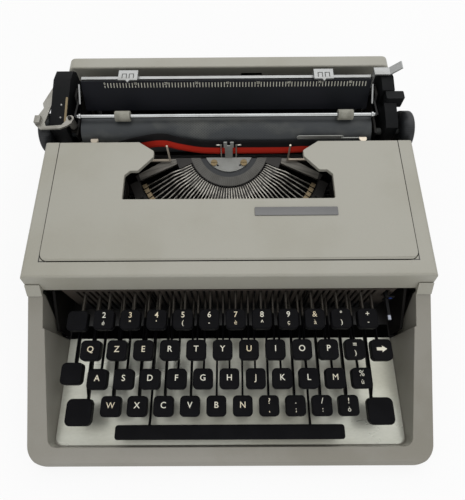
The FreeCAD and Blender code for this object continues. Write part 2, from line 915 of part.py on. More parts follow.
def ribbon():
    """The inked ribbon, on edge: out of the left spool, across the print point, to the right."""
    end_y = post_y - 2.5
    end_z = spool_low + 1.5
    low_y = ribbon_low_y
    low_z = ribbon_low_z
    path = [
        (-post_x + 3, end_y, end_z, 0),
        (-post_x + 17, low_y - 0.9, low_z + 0.2 * ribbon_hump, ribbon_lean * 0.6),
        (-hook_x - 18, low_y + 0.7, low_z + 0.85 * ribbon_hump, ribbon_lean),
        (-hook_x - 3, low_y + 0.9, low_z + ribbon_hump, ribbon_lean * 1.15),
        (-hook_x + 9, low_y + 0.6, low_z + 0.55 * ribbon_hump, ribbon_lean * 1.1),
        (-hook_x + 25, low_y + 0.1, low_z + 0.12 * ribbon_hump, ribbon_lean),
        (-vibrator_x - 4, low_y, low_z, ribbon_lean),
        (vibrator_x + 4, low_y, low_z, ribbon_lean),
        (hook_x - 4, low_y, low_z, ribbon_lean),
        (hook_x + 16, low_y + 0.2, low_z + 0.1 * ribbon_hump, ribbon_lean),
        (post_x - 20, low_y - 0.9, low_z - 1.8, ribbon_lean * 0.5),
        (post_x - 3, end_y, end_z, 0),
    ]
    return Part.makeLoft([ribbon_section(*place) for place in path], True, True)


vibrator_low = 34.0
vibrator_top = ribbon_low_z + ribbon_width + 0.5


def ribbon_vibrator():
    """The small carrier that lifts the ribbon in front of the type; wire loops beside the guide."""
    solids = []
    for side_sign in (-1, 1):
        x = side_sign * vibrator_x
        top = V(x, vibrator_y, vibrator_top)
        solids.append(rod(wire_radius, V(x, vibrator_y, vibrator_low + 2), top))
        hook_start = V(x + side_sign * wire_radius, vibrator_y, vibrator_top - wire_radius)
        hook_end = V(x + side_sign * 4, vibrator_y, vibrator_top - wire_radius)
        solids.append(rod(wire_radius, hook_start, hook_end))
    solids.append(block(-vibrator_x - wire_radius, vibrator_x + wire_radius, vibrator_y - wire_radius,
                        vibrator_y + wire_radius, vibrator_low, vibrator_low + 2))
    return solids


def colour_selector():
    """Small lever beside the number row that sets the ribbon colour."""
    x = selector_x
    plate = block(x - 1.4, x + 5.2, comb_y - 4.6, comb_y - 3.4, 44, 53)
    tip = block(x - 1.1, x + 1.1, comb_y - 21, comb_y - 4, 48.6, 50.4)
    stem = block(x - 1.1, x + 1.1, comb_y - 3.4, comb_y + 8, 48, 51)
    return plate.fuse([tip, stem]).removeSplitter()


# ---------------------------------------------------------------- carriage
cx = carriage_offset
side_in = platen_half_length + 4.1
side_thick = 1.8
carriage_floor = rail_top + 0.4


def on_carriage(solid):
    moved = solid.copy()
    moved.translate(V(cx, 0, 0))
    return moved


def both(solid):
    """A right-hand carriage piece and its left-hand mirror image."""
    return [on_carriage(solid), on_carriage(mirrored(solid))]


bail_pivot_y = platen_y + 25
bail_pivot_z = platen_height + 18
bail_y = platen_y + 1
bail_z = platen_height + 20
bail_rod_radius = 1.6
release_pivot_y = platen_y + 30
release_pivot_z = platen_height - 4
lever_pivot_x = -side_in - side_thick - 2.2  # measured on the carriage
lever_pivot_y = platen_y
lever_low = platen_height + 17.6


def carriage_frame():
    solids = []
    tray = block(-side_in, side_in, rail_front_y - 1.6, rail_rear_y + rail_width + 1.6,
                 carriage_floor, carriage_floor + 2)
    platen_bed = rod(platen_radius + 1, V(-platen_half_length - 0.6, platen_y, platen_height),
                     V(platen_half_length + 0.6, platen_y, platen_height))
    tray = tray.cut([platen_bed])
    lips = [
        block(-side_in, side_in, rail_front_y - 1.6, rail_front_y - 0.5, carriage_floor - 4,
              carriage_floor),
        block(-side_in, side_in, rail_rear_y + rail_width + 0.5, rail_rear_y + rail_width + 1.6,
              carriage_floor - 4, carriage_floor),
    ]
    cheek = [
        (platen_y - 8, carriage_floor),
        (platen_y - 8, platen_height + 8),
        (platen_y + 14, platen_height + 9),
        (bail_pivot_y - 5, bail_pivot_z + 4.5),
        (bail_pivot_y + 4, bail_pivot_z + 4.5),
        (rail_rear_y + rail_width + 1.6, carriage_floor + 12),
        (rail_rear_y + rail_width + 1.6, carriage_floor),
    ]
    plate = side_prism(cheek, side_in, side_in + side_thick)
    bearing = rod(
        shaft_radius + running_clearance,
        V(side_in - 1, platen_y, platen_height),
        V(side_in + 4, platen_y, platen_height),
    )
    pivot = rod(
        1.5,
        V(side_in - 2.4, bail_pivot_y, bail_pivot_z),
        V(side_in + side_thick, bail_pivot_y, bail_pivot_z),
    )
    release_pin = rod(
        1.5,
        V(side_in - 2.7, release_pivot_y, release_pivot_z),
        V(side_in + side_thick, release_pivot_y, release_pivot_z),
    )
    plate = plate.cut([bearing]).fuse([pivot, release_pin])
    lever_bracket = block(lever_pivot_x - 2.4, -side_in, lever_pivot_y - 4, lever_pivot_y + 4,
                          platen_height + 6, platen_height + 8)
    lever_pin = Part.makeCylinder(1.5, lever_low + 3 - (platen_height + 6),
                                  V(lever_pivot_x, lever_pivot_y, platen_height + 6))
    frame = tray.fuse(lips + [plate, mirrored(plate), lever_bracket, lever_pin]).removeSplitter()
    return on_carriage(frame)


end_rear_y = platen_y + 42
end_front_y = platen_y - 6
end_top_rear = platen_height + 31
end_top_front = platen_height + 15
end_low = carriage_floor + 1


def end_cover(rear_in, front_in, width):
    """Plastic cover over one end of the carriage; it flares outwards to the front."""
    plan = plan_prism(
        [
            (rear_in, end_rear_y),
            (front_in, end_front_y),
            (front_in + width, end_front_y),
            (rear_in + width, end_rear_y),
        ],
        end_low,
        end_top_rear + 5,
    )
    outline = [
        (end_front_y, end_low),
        (end_front_y, end_top_front - 3),
        (end_front_y + 4, end_top_front),
        (end_rear_y - 12, end_top_rear),
        (end_rear_y - 3, end_top_rear),
        (end_rear_y, end_top_rear - 4),
        (end_rear_y, end_low + 12),
        (end_rear_y - 10, end_low),
    ]
    body = side_prism(outline, rear_in - 1, front_in + width + 1).common(plan)
    passage = rod(
        shaft_radius + air,
        V(rear_in - 5, platen_y, platen_height),
        V(front_in + width + 5, platen_y, platen_height),
    )
    hollow = plan_prism(
        [
            (rear_in + 2, end_rear_y - 3),
            (front_in + 2, end_front_y + 3),
            (front_in + width - 2, end_front_y + 3),
            (rear_in + width - 2, end_rear_y - 3),
        ],
        end_low - 1,
        end_top_front - 6,
    )
    return body.cut([passage, hollow])


end_width_left = 14.0
end_width_right = 10.0
end_rear_in = side_in + side_thick + 0.2
end_front_in = end_rear_in + 6.4
tab_y = platen_y + 12


def carriage_end_left():
    return on_carriage(mirrored(end_cover(end_rear_in, end_front_in, end_width_left)))


def carriage_end_right():
    cover = end_cover(end_rear_in, end_front_in, end_width_right)
    notch = block(end_rear_in + 3, end_front_in + end_width_right + 5, tab_y - air, tab_y + 8 + air,
                  platen_height + 11, platen_height + 60)
    return on_carriage(cover.cut([notch]))


def carriage_release_lever():
    x0 = end_rear_in + 5.2
    tab = rounded_block(x0, end_front_in + end_width_right + 3.5, tab_y, tab_y + 8,
                        platen_height + 16, platen_height + 26, 1.2)
    stem = block(x0 + 1, x0 + 3.4, tab_y + 2, tab_y + 6, platen_height + 15.4, platen_height + 16)
    return on_carriage(tab.fuse(stem).removeSplitter())


def platen():
    roller = rod(platen_radius, V(-platen_half_length, platen_y, platen_height),
                 V(platen_half_length, platen_y, platen_height))
    shaft = rod(shaft_radius, V(-knob_outer + 2, platen_y, platen_height),
                V(knob_outer - 2, platen_y, platen_height))
    return on_carriage(roller.fuse(shaft).removeSplitter())


def platen_knobs():
    knob = rod(knob_radius, V(knob_inner, platen_y, platen_height),
               V(knob_outer, platen_y, platen_height))
    rim = [e for e in knob.Edges if abs(e.CenterOfMass.x - knob_outer) < 0.01]
    knob = knob.makeFillet(2.0, [e for e in rim if e.Length > 10])
    bore = rod(shaft_radius, V(knob_inner - 1, platen_y, platen_height),
               V(knob_outer - 2, platen_y, platen_height))
    return both(knob.cut([bore]))


table_low = (platen_y + 17.5, platen_height + 8)
table_high = (platen_y + 30, platen_height + 29)


def paper_table():
    lean = math.atan2(table_high[1] - table_low[1], table_high[0] - table_low[0])
    nx = math.sin(lean) * 1.8
    nz = math.cos(lean) * 1.8
    outline = [
        table_low,
        table_high,
        (table_high[0] + nx, table_high[1] - nz),
        (table_low[0] + nx, table_low[1] - nz),
    ]
    sheet = side_prism(outline, -platen_half_length - 0.5, platen_half_length + 0.5)
    foot = [
        (table_low[0] + 0.2, table_low[1]),
        (table_low[0] + nx + 0.6, table_low[1] - nz + 1.5),
        (table_low[0] + 6, carriage_floor + 2.05),
        (table_low[0] + 4, carriage_floor + 2.05),
    ]
    legs = []
    for x in (-90, 0, 90):
        legs.append(side_prism(foot, x - 6, x + 6))
    return on_carriage(sheet.fuse(legs).removeSplitter())


rail_bar_y = platen_y + 35
rail_bar_z = platen_height + 26
rail_bar_half = platen_half_length + 1
rail_bar_size = 3.0


def margin_rail():
    h = rail_bar_size / 2
    bar = block(-rail_bar_half, rail_bar_half, rail_bar_y - h, rail_bar_y + h, rail_bar_z - h,
                rail_bar_z + h)
    brackets = []
    for x in (-rail_bar_half + 3, rail_bar_half - 5):
        brackets.append(
            block(x, x + 2, rail_bar_y - 4, rail_bar_y + h, carriage_floor + 2.05, rail_bar_z)
        )
    return on_carriage(bar.fuse(brackets).removeSplitter())


stop_width = 16.0
stop_rest = 80.5


def margin_stop(x):
    h = rail_bar_size / 2 + running_clearance
    plate_low = table_high[1] + 0.6
    top = plate_low + 1.6
    body = block(x - stop_width / 2, x + stop_width / 2, rail_bar_y - 3, rail_bar_y + 4.5,
                 rail_bar_z - h - 2, top)
    passage = block(x - 20, x + 20, rail_bar_y - h, rail_bar_y + h, rail_bar_z - h, rail_bar_z + h)
    front = rail_bar_y - 6
    plate = plan_prism(
        [
            (x - stop_width / 2, rail_bar_y),
            (x - stop_width / 2, front),
            (x - 1.8, front),
            (x, front - 2.6),
            (x + 1.8, front),
            (x + stop_width / 2, front),
            (x + stop_width / 2, rail_bar_y),
        ],
        plate_low,
        top,
    )
    return on_carriage(body.cut([passage]).fuse(plate).removeSplitter())


def paper_bail():
    arm_x = side_in - 2.2
    bar = rod(bail_rod_radius, V(-arm_x, bail_y, bail_z), V(arm_x, bail_y, bail_z))
    dy = bail_pivot_y - bail_y
    dz = bail_pivot_z - bail_z
    length = math.hypot(dy, dz)
    arm = block(arm_x, arm_x + 1.4, -3, length + 3, -2.6, 2.6)
    arm.rotate(V(arm_x, 0, 0), X_AXIS, math.degrees(math.atan2(dz, dy)))
    arm.translate(V(0, bail_y, bail_z))
    bore = rod(1.5 + running_clearance, V(arm_x - 3, bail_pivot_y, bail_pivot_z),
               V(arm_x + 3, bail_pivot_y, bail_pivot_z))
    arm = arm.cut([bore])
    return on_carriage(bar.fuse([arm, mirrored(arm)]).removeSplitter())


roller_radius = 4.2
roller_half = 6.2
roller_x = (-84.0, 97.0)


def bail_rollers():
    rollers = []
    for x in roller_x:
        roller = rod(roller_radius, V(x - roller_half, bail_y, bail_z),
                     V(x + roller_half, bail_y, bail_z))
        bore = rod(bail_rod_radius, V(x - 10, bail_y, bail_z), V(x + 10, bail_y, bail_z))
        rollers.append(on_carriage(roller.cut([bore])))
    return rollers


def paper_release_lever():
    x0 = side_in - 2.5
    top = end_top_rear + 1.6
    arm = side_prism(
        [
            (release_pivot_y - 3, release_pivot_z - 3),
            (release_pivot_y - 3, release_pivot_z + 3),
            (release_pivot_y + 1.5, top),
            (release_pivot_y + 6, top),
            (release_pivot_y + 4, release_pivot_z - 3),
        ],
        x0,
        x0 + 1.3,
    )
    plate = block(x0, x0 + 13, release_pivot_y, release_pivot_y + 7.5, top, top + 1.4)
    curl = Part.Face(
        Part.makePolygon(
            [
                V(x0 + 13, release_pivot_y, top),
                V(x0 + 21, release_pivot_y, top + 7),
                V(x0 + 20, release_pivot_y, top + 8),
                V(x0 + 12.4, release_pivot_y, top + 1.4),
                V(x0 + 13, release_pivot_y, top),
            ]
        )
    ).extrude(V(0, 7.5, 0))
    bore = rod(1.5 + running_clearance, V(x0 - 3, release_pivot_y, release_pivot_z),
               V(x0 + 5, release_pivot_y, release_pivot_z))
    return on_carriage(arm.fuse([plate, curl]).cut([bore]).removeSplitter())


blade_thickness = 1.6
knob_edge = -knob_outer - 0.1


def return_lever():
    """Carriage return lever: a strip round the front of the left end cover, and a broad blade."""
    x0 = lever_pivot_x
    y0 = lever_pivot_y
    outer_front = -end_front_in - end_width_left
    outer_rear = -end_rear_in - end_width_left
    hub_low = platen_height + 9.6
    hub = Part.makeCylinder(3.2, lever_low + blade_thickness - hub_low, V(x0, y0, hub_low))
    blade = plan_prism(
        [
            (x0 + 2.5, y0 - 1.5),
            (x0 - 2.5, y0 - 1.5),
            (x0 - 5.9, y0 - 6.6),
            (outer_front, y0 - 7.6),
            (outer_front - 1.6, y0 - 4),
            (outer_rear - 2.6, y0 + 33),
            (outer_rear - 6.9, y0 + 35),
            (knob_edge + 2.6, y0 + 16),
            (knob_edge + 4.3, y0 + 11),
            (knob_edge, y0 + 1),
            (knob_edge, y0 - 6),
            (knob_edge + 4.6, y0 - 10.4),
            (x0 - 6.9, y0 - 10.2),
            (x0 - 1.4, y0 - 7.5),
            (x0 + 2.0, y0 - 4.5),
        ],
        lever_low,
        lever_low + blade_thickness,
    )
    tip = plan_prism(
        [
            (knob_edge, y0 + 1),
            (knob_edge, y0 - 6),
            (knob_edge + 4.6, y0 - 6),
            (knob_edge + 4.6, y0 + 1),
        ],
        lever_low,
        lever_low + 4.5,
    )
    bore = Part.makeCylinder(1.5 + running_clearance, 30, V(x0, y0, platen_height))
    return on_carriage(hub.fuse([blade, tip]).cut([bore]).removeSplitter())


# ---------------------------------------------------------------- mainspring drum
drum_radius = 18.0
drum_height = 10.0
drum_x = -96.0
drum_y = platen_y + 10
drum_low = 24.0


def mainspring_drum():
    drum = Part.makeCylinder(drum_radius, drum_height, V(drum_x, drum_y, drum_low))
    groove = Part.makeCylinder(drum_radius + 1, 3, V(drum_x, drum_y, drum_low + 4)).cut(
        [Part.makeCylinder(drum_radius - 1.5, 3, V(drum_x, drum_y, drum_low + 4))]
    )
    bore = Part.makeCylinder(3 + running_clearance, 30, V(drum_x, drum_y, drum_low - 5))
    return drum.cut([groove, bore])


def drum_stand():
    post = Part.makeCylinder(3, drum_low + drum_height + 1 - floor_z, V(drum_x, drum_y, floor_z))
    base = Part.makeCylinder(9, 4, V(drum_x, drum_y, floor_z + 0.02))
    return post.fuse(base).removeSplitter()


# ---------------------------------------------------------------- write every node
save("lower_case", lower_case())
save("upper_housing", upper_housing())
save("ribbon_cover", ribbon_cover())
save("rear_panel", rear_panel())
save("rubber_feet", rubber_feet())
save("fasteners", foot_screws())
save("main_frame", main_frame() + [drum_stand()])
save("key_comb", key_comb())

key_names = {
    "upper": "qzertyuiop",
    "home": "asdfghjklm",
}
for row in ("upper", "home"):
    names = list(key_names[row]) + ["symbol"]
    for index, name in enumerate(names):
        label = name if name != "symbol" else row + "_" + name
        save("key_" + label, character_key(row, index))
for row in ("number", "bottom"):
    solids = []
    for index in range(len(key_rows[row]["x"])):
        solids += character_key(row, index)
    save(row + "_row_keys", solids)
save("shift_keys", shift_keys())
save("shift_lock", shift_lock())
save("margin_release_key", margin_release_key())
save("backspace_key", backspace_key())
save("space_bar", space_bar())

save("type_segment", type_segment())
save("typebars", typebars())
save("type_guide", type_guide())
save("ribbon", ribbon())
save("spool_left", spool_at(-1))
save("spool_right", spool_at(1))
save("ribbon_vibrator", ribbon_vibrator())
save("colour_selector", colour_selector())

save("carriage_frame", carriage_frame())
save("carriage_end_left", carriage_end_left())
save("carriage_end_right", carriage_end_right())
save("carriage_release_lever", carriage_release_lever())
save("platen", platen())
save("platen_knobs", platen_knobs())
save("paper_table", paper_table())
save("margin_rail", margin_rail())
save("margin_stop_left", margin_stop(-stop_rest))
save("margin_stop_right", margin_stop(stop_rest))
save("paper_bail", paper_bail())
save("bail_rollers", bail_rollers())
save("paper_release_lever", paper_release_lever())
save("return_lever", return_lever())
save("mainspring_drum", mainspring_drum())
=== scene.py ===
import math

import bmesh
import bpy
from mathutils import Matrix, Vector


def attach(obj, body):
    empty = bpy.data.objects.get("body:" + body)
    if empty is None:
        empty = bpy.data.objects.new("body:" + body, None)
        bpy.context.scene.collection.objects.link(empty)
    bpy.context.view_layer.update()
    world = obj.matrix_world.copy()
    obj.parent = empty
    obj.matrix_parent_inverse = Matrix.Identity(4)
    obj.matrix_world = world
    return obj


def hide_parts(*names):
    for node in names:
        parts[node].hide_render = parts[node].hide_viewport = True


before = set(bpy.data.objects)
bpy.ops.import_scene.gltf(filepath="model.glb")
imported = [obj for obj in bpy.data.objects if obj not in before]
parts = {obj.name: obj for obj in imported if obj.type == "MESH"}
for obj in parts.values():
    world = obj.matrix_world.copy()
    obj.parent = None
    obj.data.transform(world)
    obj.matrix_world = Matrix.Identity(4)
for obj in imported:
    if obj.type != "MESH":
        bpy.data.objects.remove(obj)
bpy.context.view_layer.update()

# ------------------------------------------------------------------ lower case
# The tub that holds the whole machine: one moulding of warm grey plastic with a fine grain. Its
# colour is a darker copy of the housing's plastic: painted shade.
# Its rims run round the keyboard well; behind the well its inside is painted near black: painted
# shade, with some oil and dust.
mm = 0.001


def tone(red, green, blue):
    """A colour as it looks in even light, each part from 0 to 255."""
    return tuple(((c / 255 + 0.055) / 1.055) ** 2.4 for c in (red, green, blue)) + (1.0,)


def new_group(name, inputs, outputs):
    """An empty node group with those sockets, and its two end nodes."""
    group = bpy.data.node_groups.new(name, "ShaderNodeTree")
    for side, sockets in (("INPUT", inputs), ("OUTPUT", outputs)):
        for socket_name, kind in sockets:
            group.interface.new_socket(socket_name, in_out=side, socket_type="NodeSocket" + kind)
    return group, group.nodes.new("NodeGroupInput"), group.nodes.new("NodeGroupOutput")


def feed(tree, node, **sources):
    """Sets a node's inputs by number, i0, i1 and so on, each to a value or from a socket."""
    for key, source in sources.items():
        socket = node.inputs[int(key[1:])]
        if isinstance(source, bpy.types.NodeSocket):
            tree.links.new(source, socket)
        else:
            socket.default_value = source
    return node


def maths(tree, operation, *values):
    node = tree.nodes.new("ShaderNodeMath")
    node.operation = operation
    return feed(tree, node, **{f"i{i}": value for i, value in enumerate(values)}).outputs[0]


def ramp(tree, value, start, end, low=0.0, high=1.0):
    node = tree.nodes.new("ShaderNodeMapRange")
    node.interpolation_type = "SMOOTHSTEP"
    return feed(tree, node, i0=value, i1=start, i2=end, i3=low, i4=high).outputs[0]


def mixed(tree, factor, first, second):
    node = tree.nodes.new("ShaderNodeMix")
    node.data_type = "RGBA"
    return feed(tree, node, i0=factor, i6=first, i7=second).outputs[2]


def object_place(tree):
    return tree.nodes.new("ShaderNodeTexCoord").outputs["Object"]


def place_parts(tree):
    """The place on the object as three sockets: x, y and z."""
    split = tree.nodes.new("ShaderNodeSeparateXYZ")
    tree.links.new(object_place(tree), split.inputs[0])
    return split.outputs


def noise(tree, place, scale, detail=3.0):
    node = tree.nodes.new("ShaderNodeTexNoise")
    feed(tree, node, i0=place, i2=scale, i3=detail)
    return node.outputs[0]


def patchy_group():
    """Colour that drifts in soft patches, a fine grain, and a roughness that follows both."""
    group, start, end = new_group(
        "patchy finish",
        [("Colour", "Color"), ("Patch Colour", "Color"), ("Patch Scale", "Float"),
         ("Patch Amount", "Float"), ("Grain Scale", "Float"), ("Grain Amount", "Float"),
         ("Roughness", "Float"), ("Roughness Drift", "Float"), ("Stretch", "Vector")],
        [("Colour", "Color"), ("Roughness", "Float"), ("Grain", "Float")],
    )
    value = start.outputs
    stretch = group.nodes.new("ShaderNodeVectorMath")
    stretch.operation = "MULTIPLY"
    place = feed(group, stretch, i0=object_place(group), i1=value["Stretch"]).outputs[0]
    broad = noise(group, place, value["Patch Scale"], 5.0)
    fine = noise(group, place, value["Grain Scale"], 2.0)
    patches = maths(group, "MULTIPLY", ramp(group, broad, 0.42, 0.68), value["Patch Amount"])
    colour = mixed(group, patches, value["Colour"], value["Patch Colour"])
    drift = maths(group, "MULTIPLY", maths(group, "SUBTRACT", fine, 0.5), value["Grain Amount"])
    shade = group.nodes.new("ShaderNodeHueSaturation")
    feed(group, shade, i2=maths(group, "ADD", drift, 1.0), i4=colour)
    swing = maths(group, "MULTIPLY", maths(group, "SUBTRACT", broad, 0.5),
                   value["Roughness Drift"])
    roughness = maths(group, "ADD", swing, value["Roughness"])
    feed(group, end, i0=shade.outputs[0], i1=roughness, i2=fine)
    return group


def zone_group():
    """1 inside a box of the object's own space, 0 outside it, with a soft border."""
    group, start, end = new_group(
        "zone", [("Low Corner", "Vector"), ("High Corner", "Vector"), ("Border", "Vector")],
        [("Inside", "Float")],
    )
    place = object_place(group)
    sides = []
    for corner in ("Low Corner", "High Corner"):
        edges = []
        for operation in ("SUBTRACT", "ADD"):
            node = group.nodes.new("ShaderNodeVectorMath")
            node.operation = operation
            feed(group, node, i0=start.outputs[corner], i1=start.outputs["Border"])
            edges.append(node.outputs[0])
        step = group.nodes.new("ShaderNodeMapRange")
        step.data_type = "FLOAT_VECTOR"
        step.interpolation_type = "SMOOTHSTEP"
        group.links.new(place, step.inputs["Vector"])
        group.links.new(edges[0], step.inputs[7])
        group.links.new(edges[1], step.inputs[8])
        split = group.nodes.new("ShaderNodeSeparateXYZ")
        group.links.new(step.outputs["Vector"], split.inputs[0])
        sides.append(split.outputs)
    inside = 1.0
    for axis in range(3):
        below_high = maths(group, "SUBTRACT", 1.0, sides[1][axis])
        between = maths(group, "MULTIPLY", sides[0][axis], below_high)
        inside = maths(group, "MULTIPLY", inside, between)
    group.links.new(inside, end.inputs[0])
    return group


patchy = patchy_group()
zone = zone_group()


def finish(name, base, patch=None, patch_scale=30.0, patch_amount=0.5, roughness=0.5, drift=0.15,
           grain_scale=1400.0, grain_amount=0.12, bump=0.1, metallic=0.0, gloss=0.5,
           stretch=(1, 1, 1)):
    """A material with the patchy finish; metallic and gloss are the same all over."""
    material = bpy.data.materials.new(name)
    material.use_nodes = True
    tree = material.node_tree
    surface = tree.nodes["Principled BSDF"]
    surface.inputs["Metallic"].default_value = metallic
    surface.inputs["Specular IOR Level"].default_value = gloss
    group = tree.nodes.new("ShaderNodeGroup")
    group.node_tree = patchy
    feed(tree, group, i0=tone(*base), i1=tone(*(patch or base)), i2=patch_scale, i3=patch_amount,
         i4=grain_scale, i5=grain_amount, i6=roughness, i7=drift, i8=stretch)
    tree.links.new(group.outputs[0], surface.inputs["Base Color"])
    tree.links.new(group.outputs[1], surface.inputs["Roughness"])
    relief = tree.nodes.new("ShaderNodeBump")
    relief.inputs["Strength"].default_value = bump
    relief.inputs["Distance"].default_value = 0.1 * mm
    tree.links.new(group.outputs[2], relief.inputs["Height"])
    tree.links.new(relief.outputs[0], surface.inputs["Normal"])
    return material


def tint(material, mask, colour):
    """Lays another colour over the finish where the mask is 1."""
    tree = material.node_tree
    base_colour = tree.nodes["Principled BSDF"].inputs["Base Color"]
    before = base_colour.links[0].from_socket
    tree.links.new(mixed(tree, mask, before, tone(*colour)), base_colour)


def zone_colour(material, low, high, colour, border=1.0, amount=1.0, metallic=None, wobble=0.0):
    """Another colour inside a box given in mm; wobble breaks it up into blotches.

    Where several zones of a material give metallic, the last one's holds.
    """
    tree = material.node_tree
    group = tree.nodes.new("ShaderNodeGroup")
    group.node_tree = zone
    feed(tree, group, i0=[v * mm for v in low], i1=[v * mm for v in high], i2=[border * mm] * 3)
    mask = maths(tree, "MULTIPLY", group.outputs[0], amount)
    if wobble:
        blotches = noise(tree, object_place(tree), wobble, 4.0)
        mask = maths(tree, "MULTIPLY", mask, ramp(tree, blotches, 0.45, 0.62))
    tint(material, mask, colour)
    if metallic is not None:
        metal = tree.nodes["Principled BSDF"].inputs["Metallic"]
        tree.links.new(maths(tree, "MULTIPLY", mask, metallic), metal)


def wear(piece, material):
    piece.data.materials.clear()
    piece.data.materials.append(material)


sharp_angle = math.radians(35.0)


def soften(node, material, width=0.0, segments=2, crisp=False):
    """Gives a CAD node its finish; width rounds its sharp edges, crisp keeps them sharp."""
    piece = parts[node]
    wear(piece, material)
    piece.data.shade_smooth()
    weld = piece.modifiers.new("weld", "WELD")
    weld.merge_threshold = 0.002 * mm
    if width:
        flat = piece.modifiers.new("flat faces", "DECIMATE")
        flat.decimate_type = "DISSOLVE"
        flat.angle_limit = math.radians(0.4)
        edge = piece.modifiers.new("soft edges", "BEVEL")
        edge.width = width * mm
        edge.segments = segments
        edge.limit_method = "ANGLE"
        edge.angle_limit = sharp_angle
        edge.harden_normals = True
    if crisp:
        creases = piece.modifiers.new("creases", "EDGE_SPLIT")
        creases.split_angle = sharp_angle
    else:
        shading = piece.modifiers.new("even shading", "WEIGHTED_NORMAL")
        shading.keep_sharp = True


def slope_colour(material, direction, start, end, half_width, rear, floor, colour):
    """Another colour beyond a slanted plane, inside the side walls, the rear wall and the floor."""
    tree = material.node_tree
    along = tree.nodes.new("ShaderNodeVectorMath")
    along.operation = "DOT_PRODUCT"
    feed(tree, along, i0=object_place(tree), i1=direction)
    x, y, z = place_parts(tree)
    mask = ramp(tree, along.outputs["Value"], start * mm, end * mm)
    for distance, inside, outside in ((maths(tree, "ABSOLUTE", x), half_width, half_width + 0.4),
                                      (y, rear, rear + 1), (z, floor, floor - 1)):
        mask = maths(tree, "MULTIPLY", mask, ramp(tree, distance, outside * mm, inside * mm))
    tint(material, mask, colour)


case_plastic = finish("case plastic", (161, 159, 148), (150, 147, 133), patch_scale=14,
                      patch_amount=0.5, roughness=0.4, grain_amount=0.09, bump=0.2, gloss=0.45)
# the tub's plastic, darker than the housing's: painted shade on the lower case
shaded_case_tub = finish("shaded case tub", (141, 138, 129), (120, 116, 103), patch_scale=16, patch_amount=0.55,
                  roughness=0.36, grain_amount=0.09, bump=0.18, gloss=0.5)
# inside the tub behind the well: painted shade, with some oil and dust
slope_colour(shaded_case_tub, direction=(0, 2.02, -1), start=-149.5, end=-147.0, half_width=137.1,
             rear=160.2, floor=6.2, colour=(20, 18, 17))
# a brown stain on the right wall beside the cover
zone_colour(shaded_case_tub, (136, -14, 62), (150, 10, 90), (120, 84, 52), amount=0.4, wobble=160)
soften("lower_case", shaded_case_tub, 0.7, 3)

# ------------------------------------------------------------------ keyboard well floor
# A thin bright steel sheet laid on the bottom of the well, under the key levers.
# Rolled, so fine streaks run along it, and it has dulled in patches.


def block(mesh, low, high):
    """Adds a box between two corners given in mm and returns its vertices."""
    middle = [(a + b) / 2 * mm for a, b in zip(low, high)]
    size = [(b - a) * mm for a, b in zip(low, high)]
    place = Matrix.Translation(middle) @ Matrix.Diagonal((*size, 1))
    return bmesh.ops.create_cube(mesh, size=1, matrix=place)["verts"]


def rounded(mesh, edges, radius, segments=2):
    bmesh.ops.bevel(mesh, geom=list(edges), offset=radius * mm, segments=segments, profile=0.5,
                    affect="EDGES", material=-1, clamp_overlap=True)


def runs_along(edge, axis):
    """True for an edge over 0.2 mm long in that direction: 0, 1 or 2 for x, y or z."""
    start, end = (v.co[axis] for v in edge.verts)
    return abs(start - end) > 0.2 * mm


def piece_from(mesh, name, material, body, smooth=True):
    """Closes the mesh off as a finished piece that rides on its CAD body."""
    bmesh.ops.recalc_face_normals(mesh, faces=mesh.faces)
    data = bpy.data.meshes.new(name)
    mesh.to_mesh(data)
    mesh.free()
    if smooth:
        data.shade_smooth()
    piece = bpy.data.objects.new(name, data)
    bpy.context.scene.collection.objects.link(piece)
    wear(piece, material)
    if smooth:
        shading = piece.modifiers.new("even shading", "WEIGHTED_NORMAL")
        shading.keep_sharp = True
    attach(piece, body)
    return piece


well_sheet = finish("well sheet", (188, 189, 178), (160, 158, 143), patch_scale=26,
                    patch_amount=0.6, roughness=0.3, drift=0.25, grain_scale=900,
                    grain_amount=0.2, bump=0.06, metallic=0.55, gloss=0.5, stretch=(0.35, 1, 1))
well_floor = 9.05
sheet_half_width = 131.4
sheet_front = -148.3
sheet_back = -68.8
sheet_corner = 6.2
mesh = bmesh.new()
block(mesh, (-sheet_half_width, sheet_front, well_floor), (sheet_half_width, sheet_back, 9.5))
front_corners = [e for e in mesh.edges
                 if runs_along(e, 2) and e.verts[0].co.y < (sheet_front + 1) * mm]
rounded(mesh, front_corners, sheet_corner, 5)
piece_from(mesh, "well_sheet", well_sheet, "chassis", smooth=False)
# behind it a near-black strip lies on the floor: painted shade
shade_strip_half_width = 131.0
shade_strip_front = -68.6
shade_strip_back = -58.0
# a near-black finish that stands in for shade: painted shade
shade_black = finish("painted shade black", (9, 9, 9), (18, 17, 16), roughness=0.95, grain_amount=0.5,
                    bump=0.5, gloss=0.0)
mesh = bmesh.new()
block(mesh, (-shade_strip_half_width, shade_strip_front, well_floor), (shade_strip_half_width, shade_strip_back, 9.6))
piece_from(mesh, "well_shade_strip", shade_black, "chassis", smooth=False)

# ------------------------------------------------------------------ rubber feet and their screws
# Four moulded black rubber feet under the corners of the case. A slotted steel screw goes up
# through each foot and holds it to the floor of the case.
foot_rubber = finish("foot rubber", (26, 26, 26), (40, 39, 37), roughness=0.8, gloss=0.2)
bare_steel = finish("bare steel", (150, 150, 148), (96, 90, 82), patch_scale=120,
                    patch_amount=0.4, roughness=0.36, drift=0.2, bump=0.05, metallic=0.9)
soften("rubber_feet", foot_rubber, 0.4)
soften("fasteners", bare_steel, 0.1)

# ------------------------------------------------------------------ frame, rails and posts
# Steel side plates, crossbars and carriage rails, pressed and blackened against rust.
# The ribbon's posts and guide wires stand on the frame, and they are plated.
dark_steel = finish("dark steel", (24, 23, 22), (48, 45, 40), patch_scale=60, patch_amount=0.35,
                    roughness=0.45, grain_amount=0.3, metallic=0.2, gloss=0.12)
for posts_left, posts_right in ((-112, -40), (40, 112.5)):
    zone_colour(dark_steel, (posts_left, 70, 58), (posts_right, 79.5, 82), (186, 176, 160),
                border=0.3, metallic=0.8)
soften("main_frame", dark_steel, 0.2)

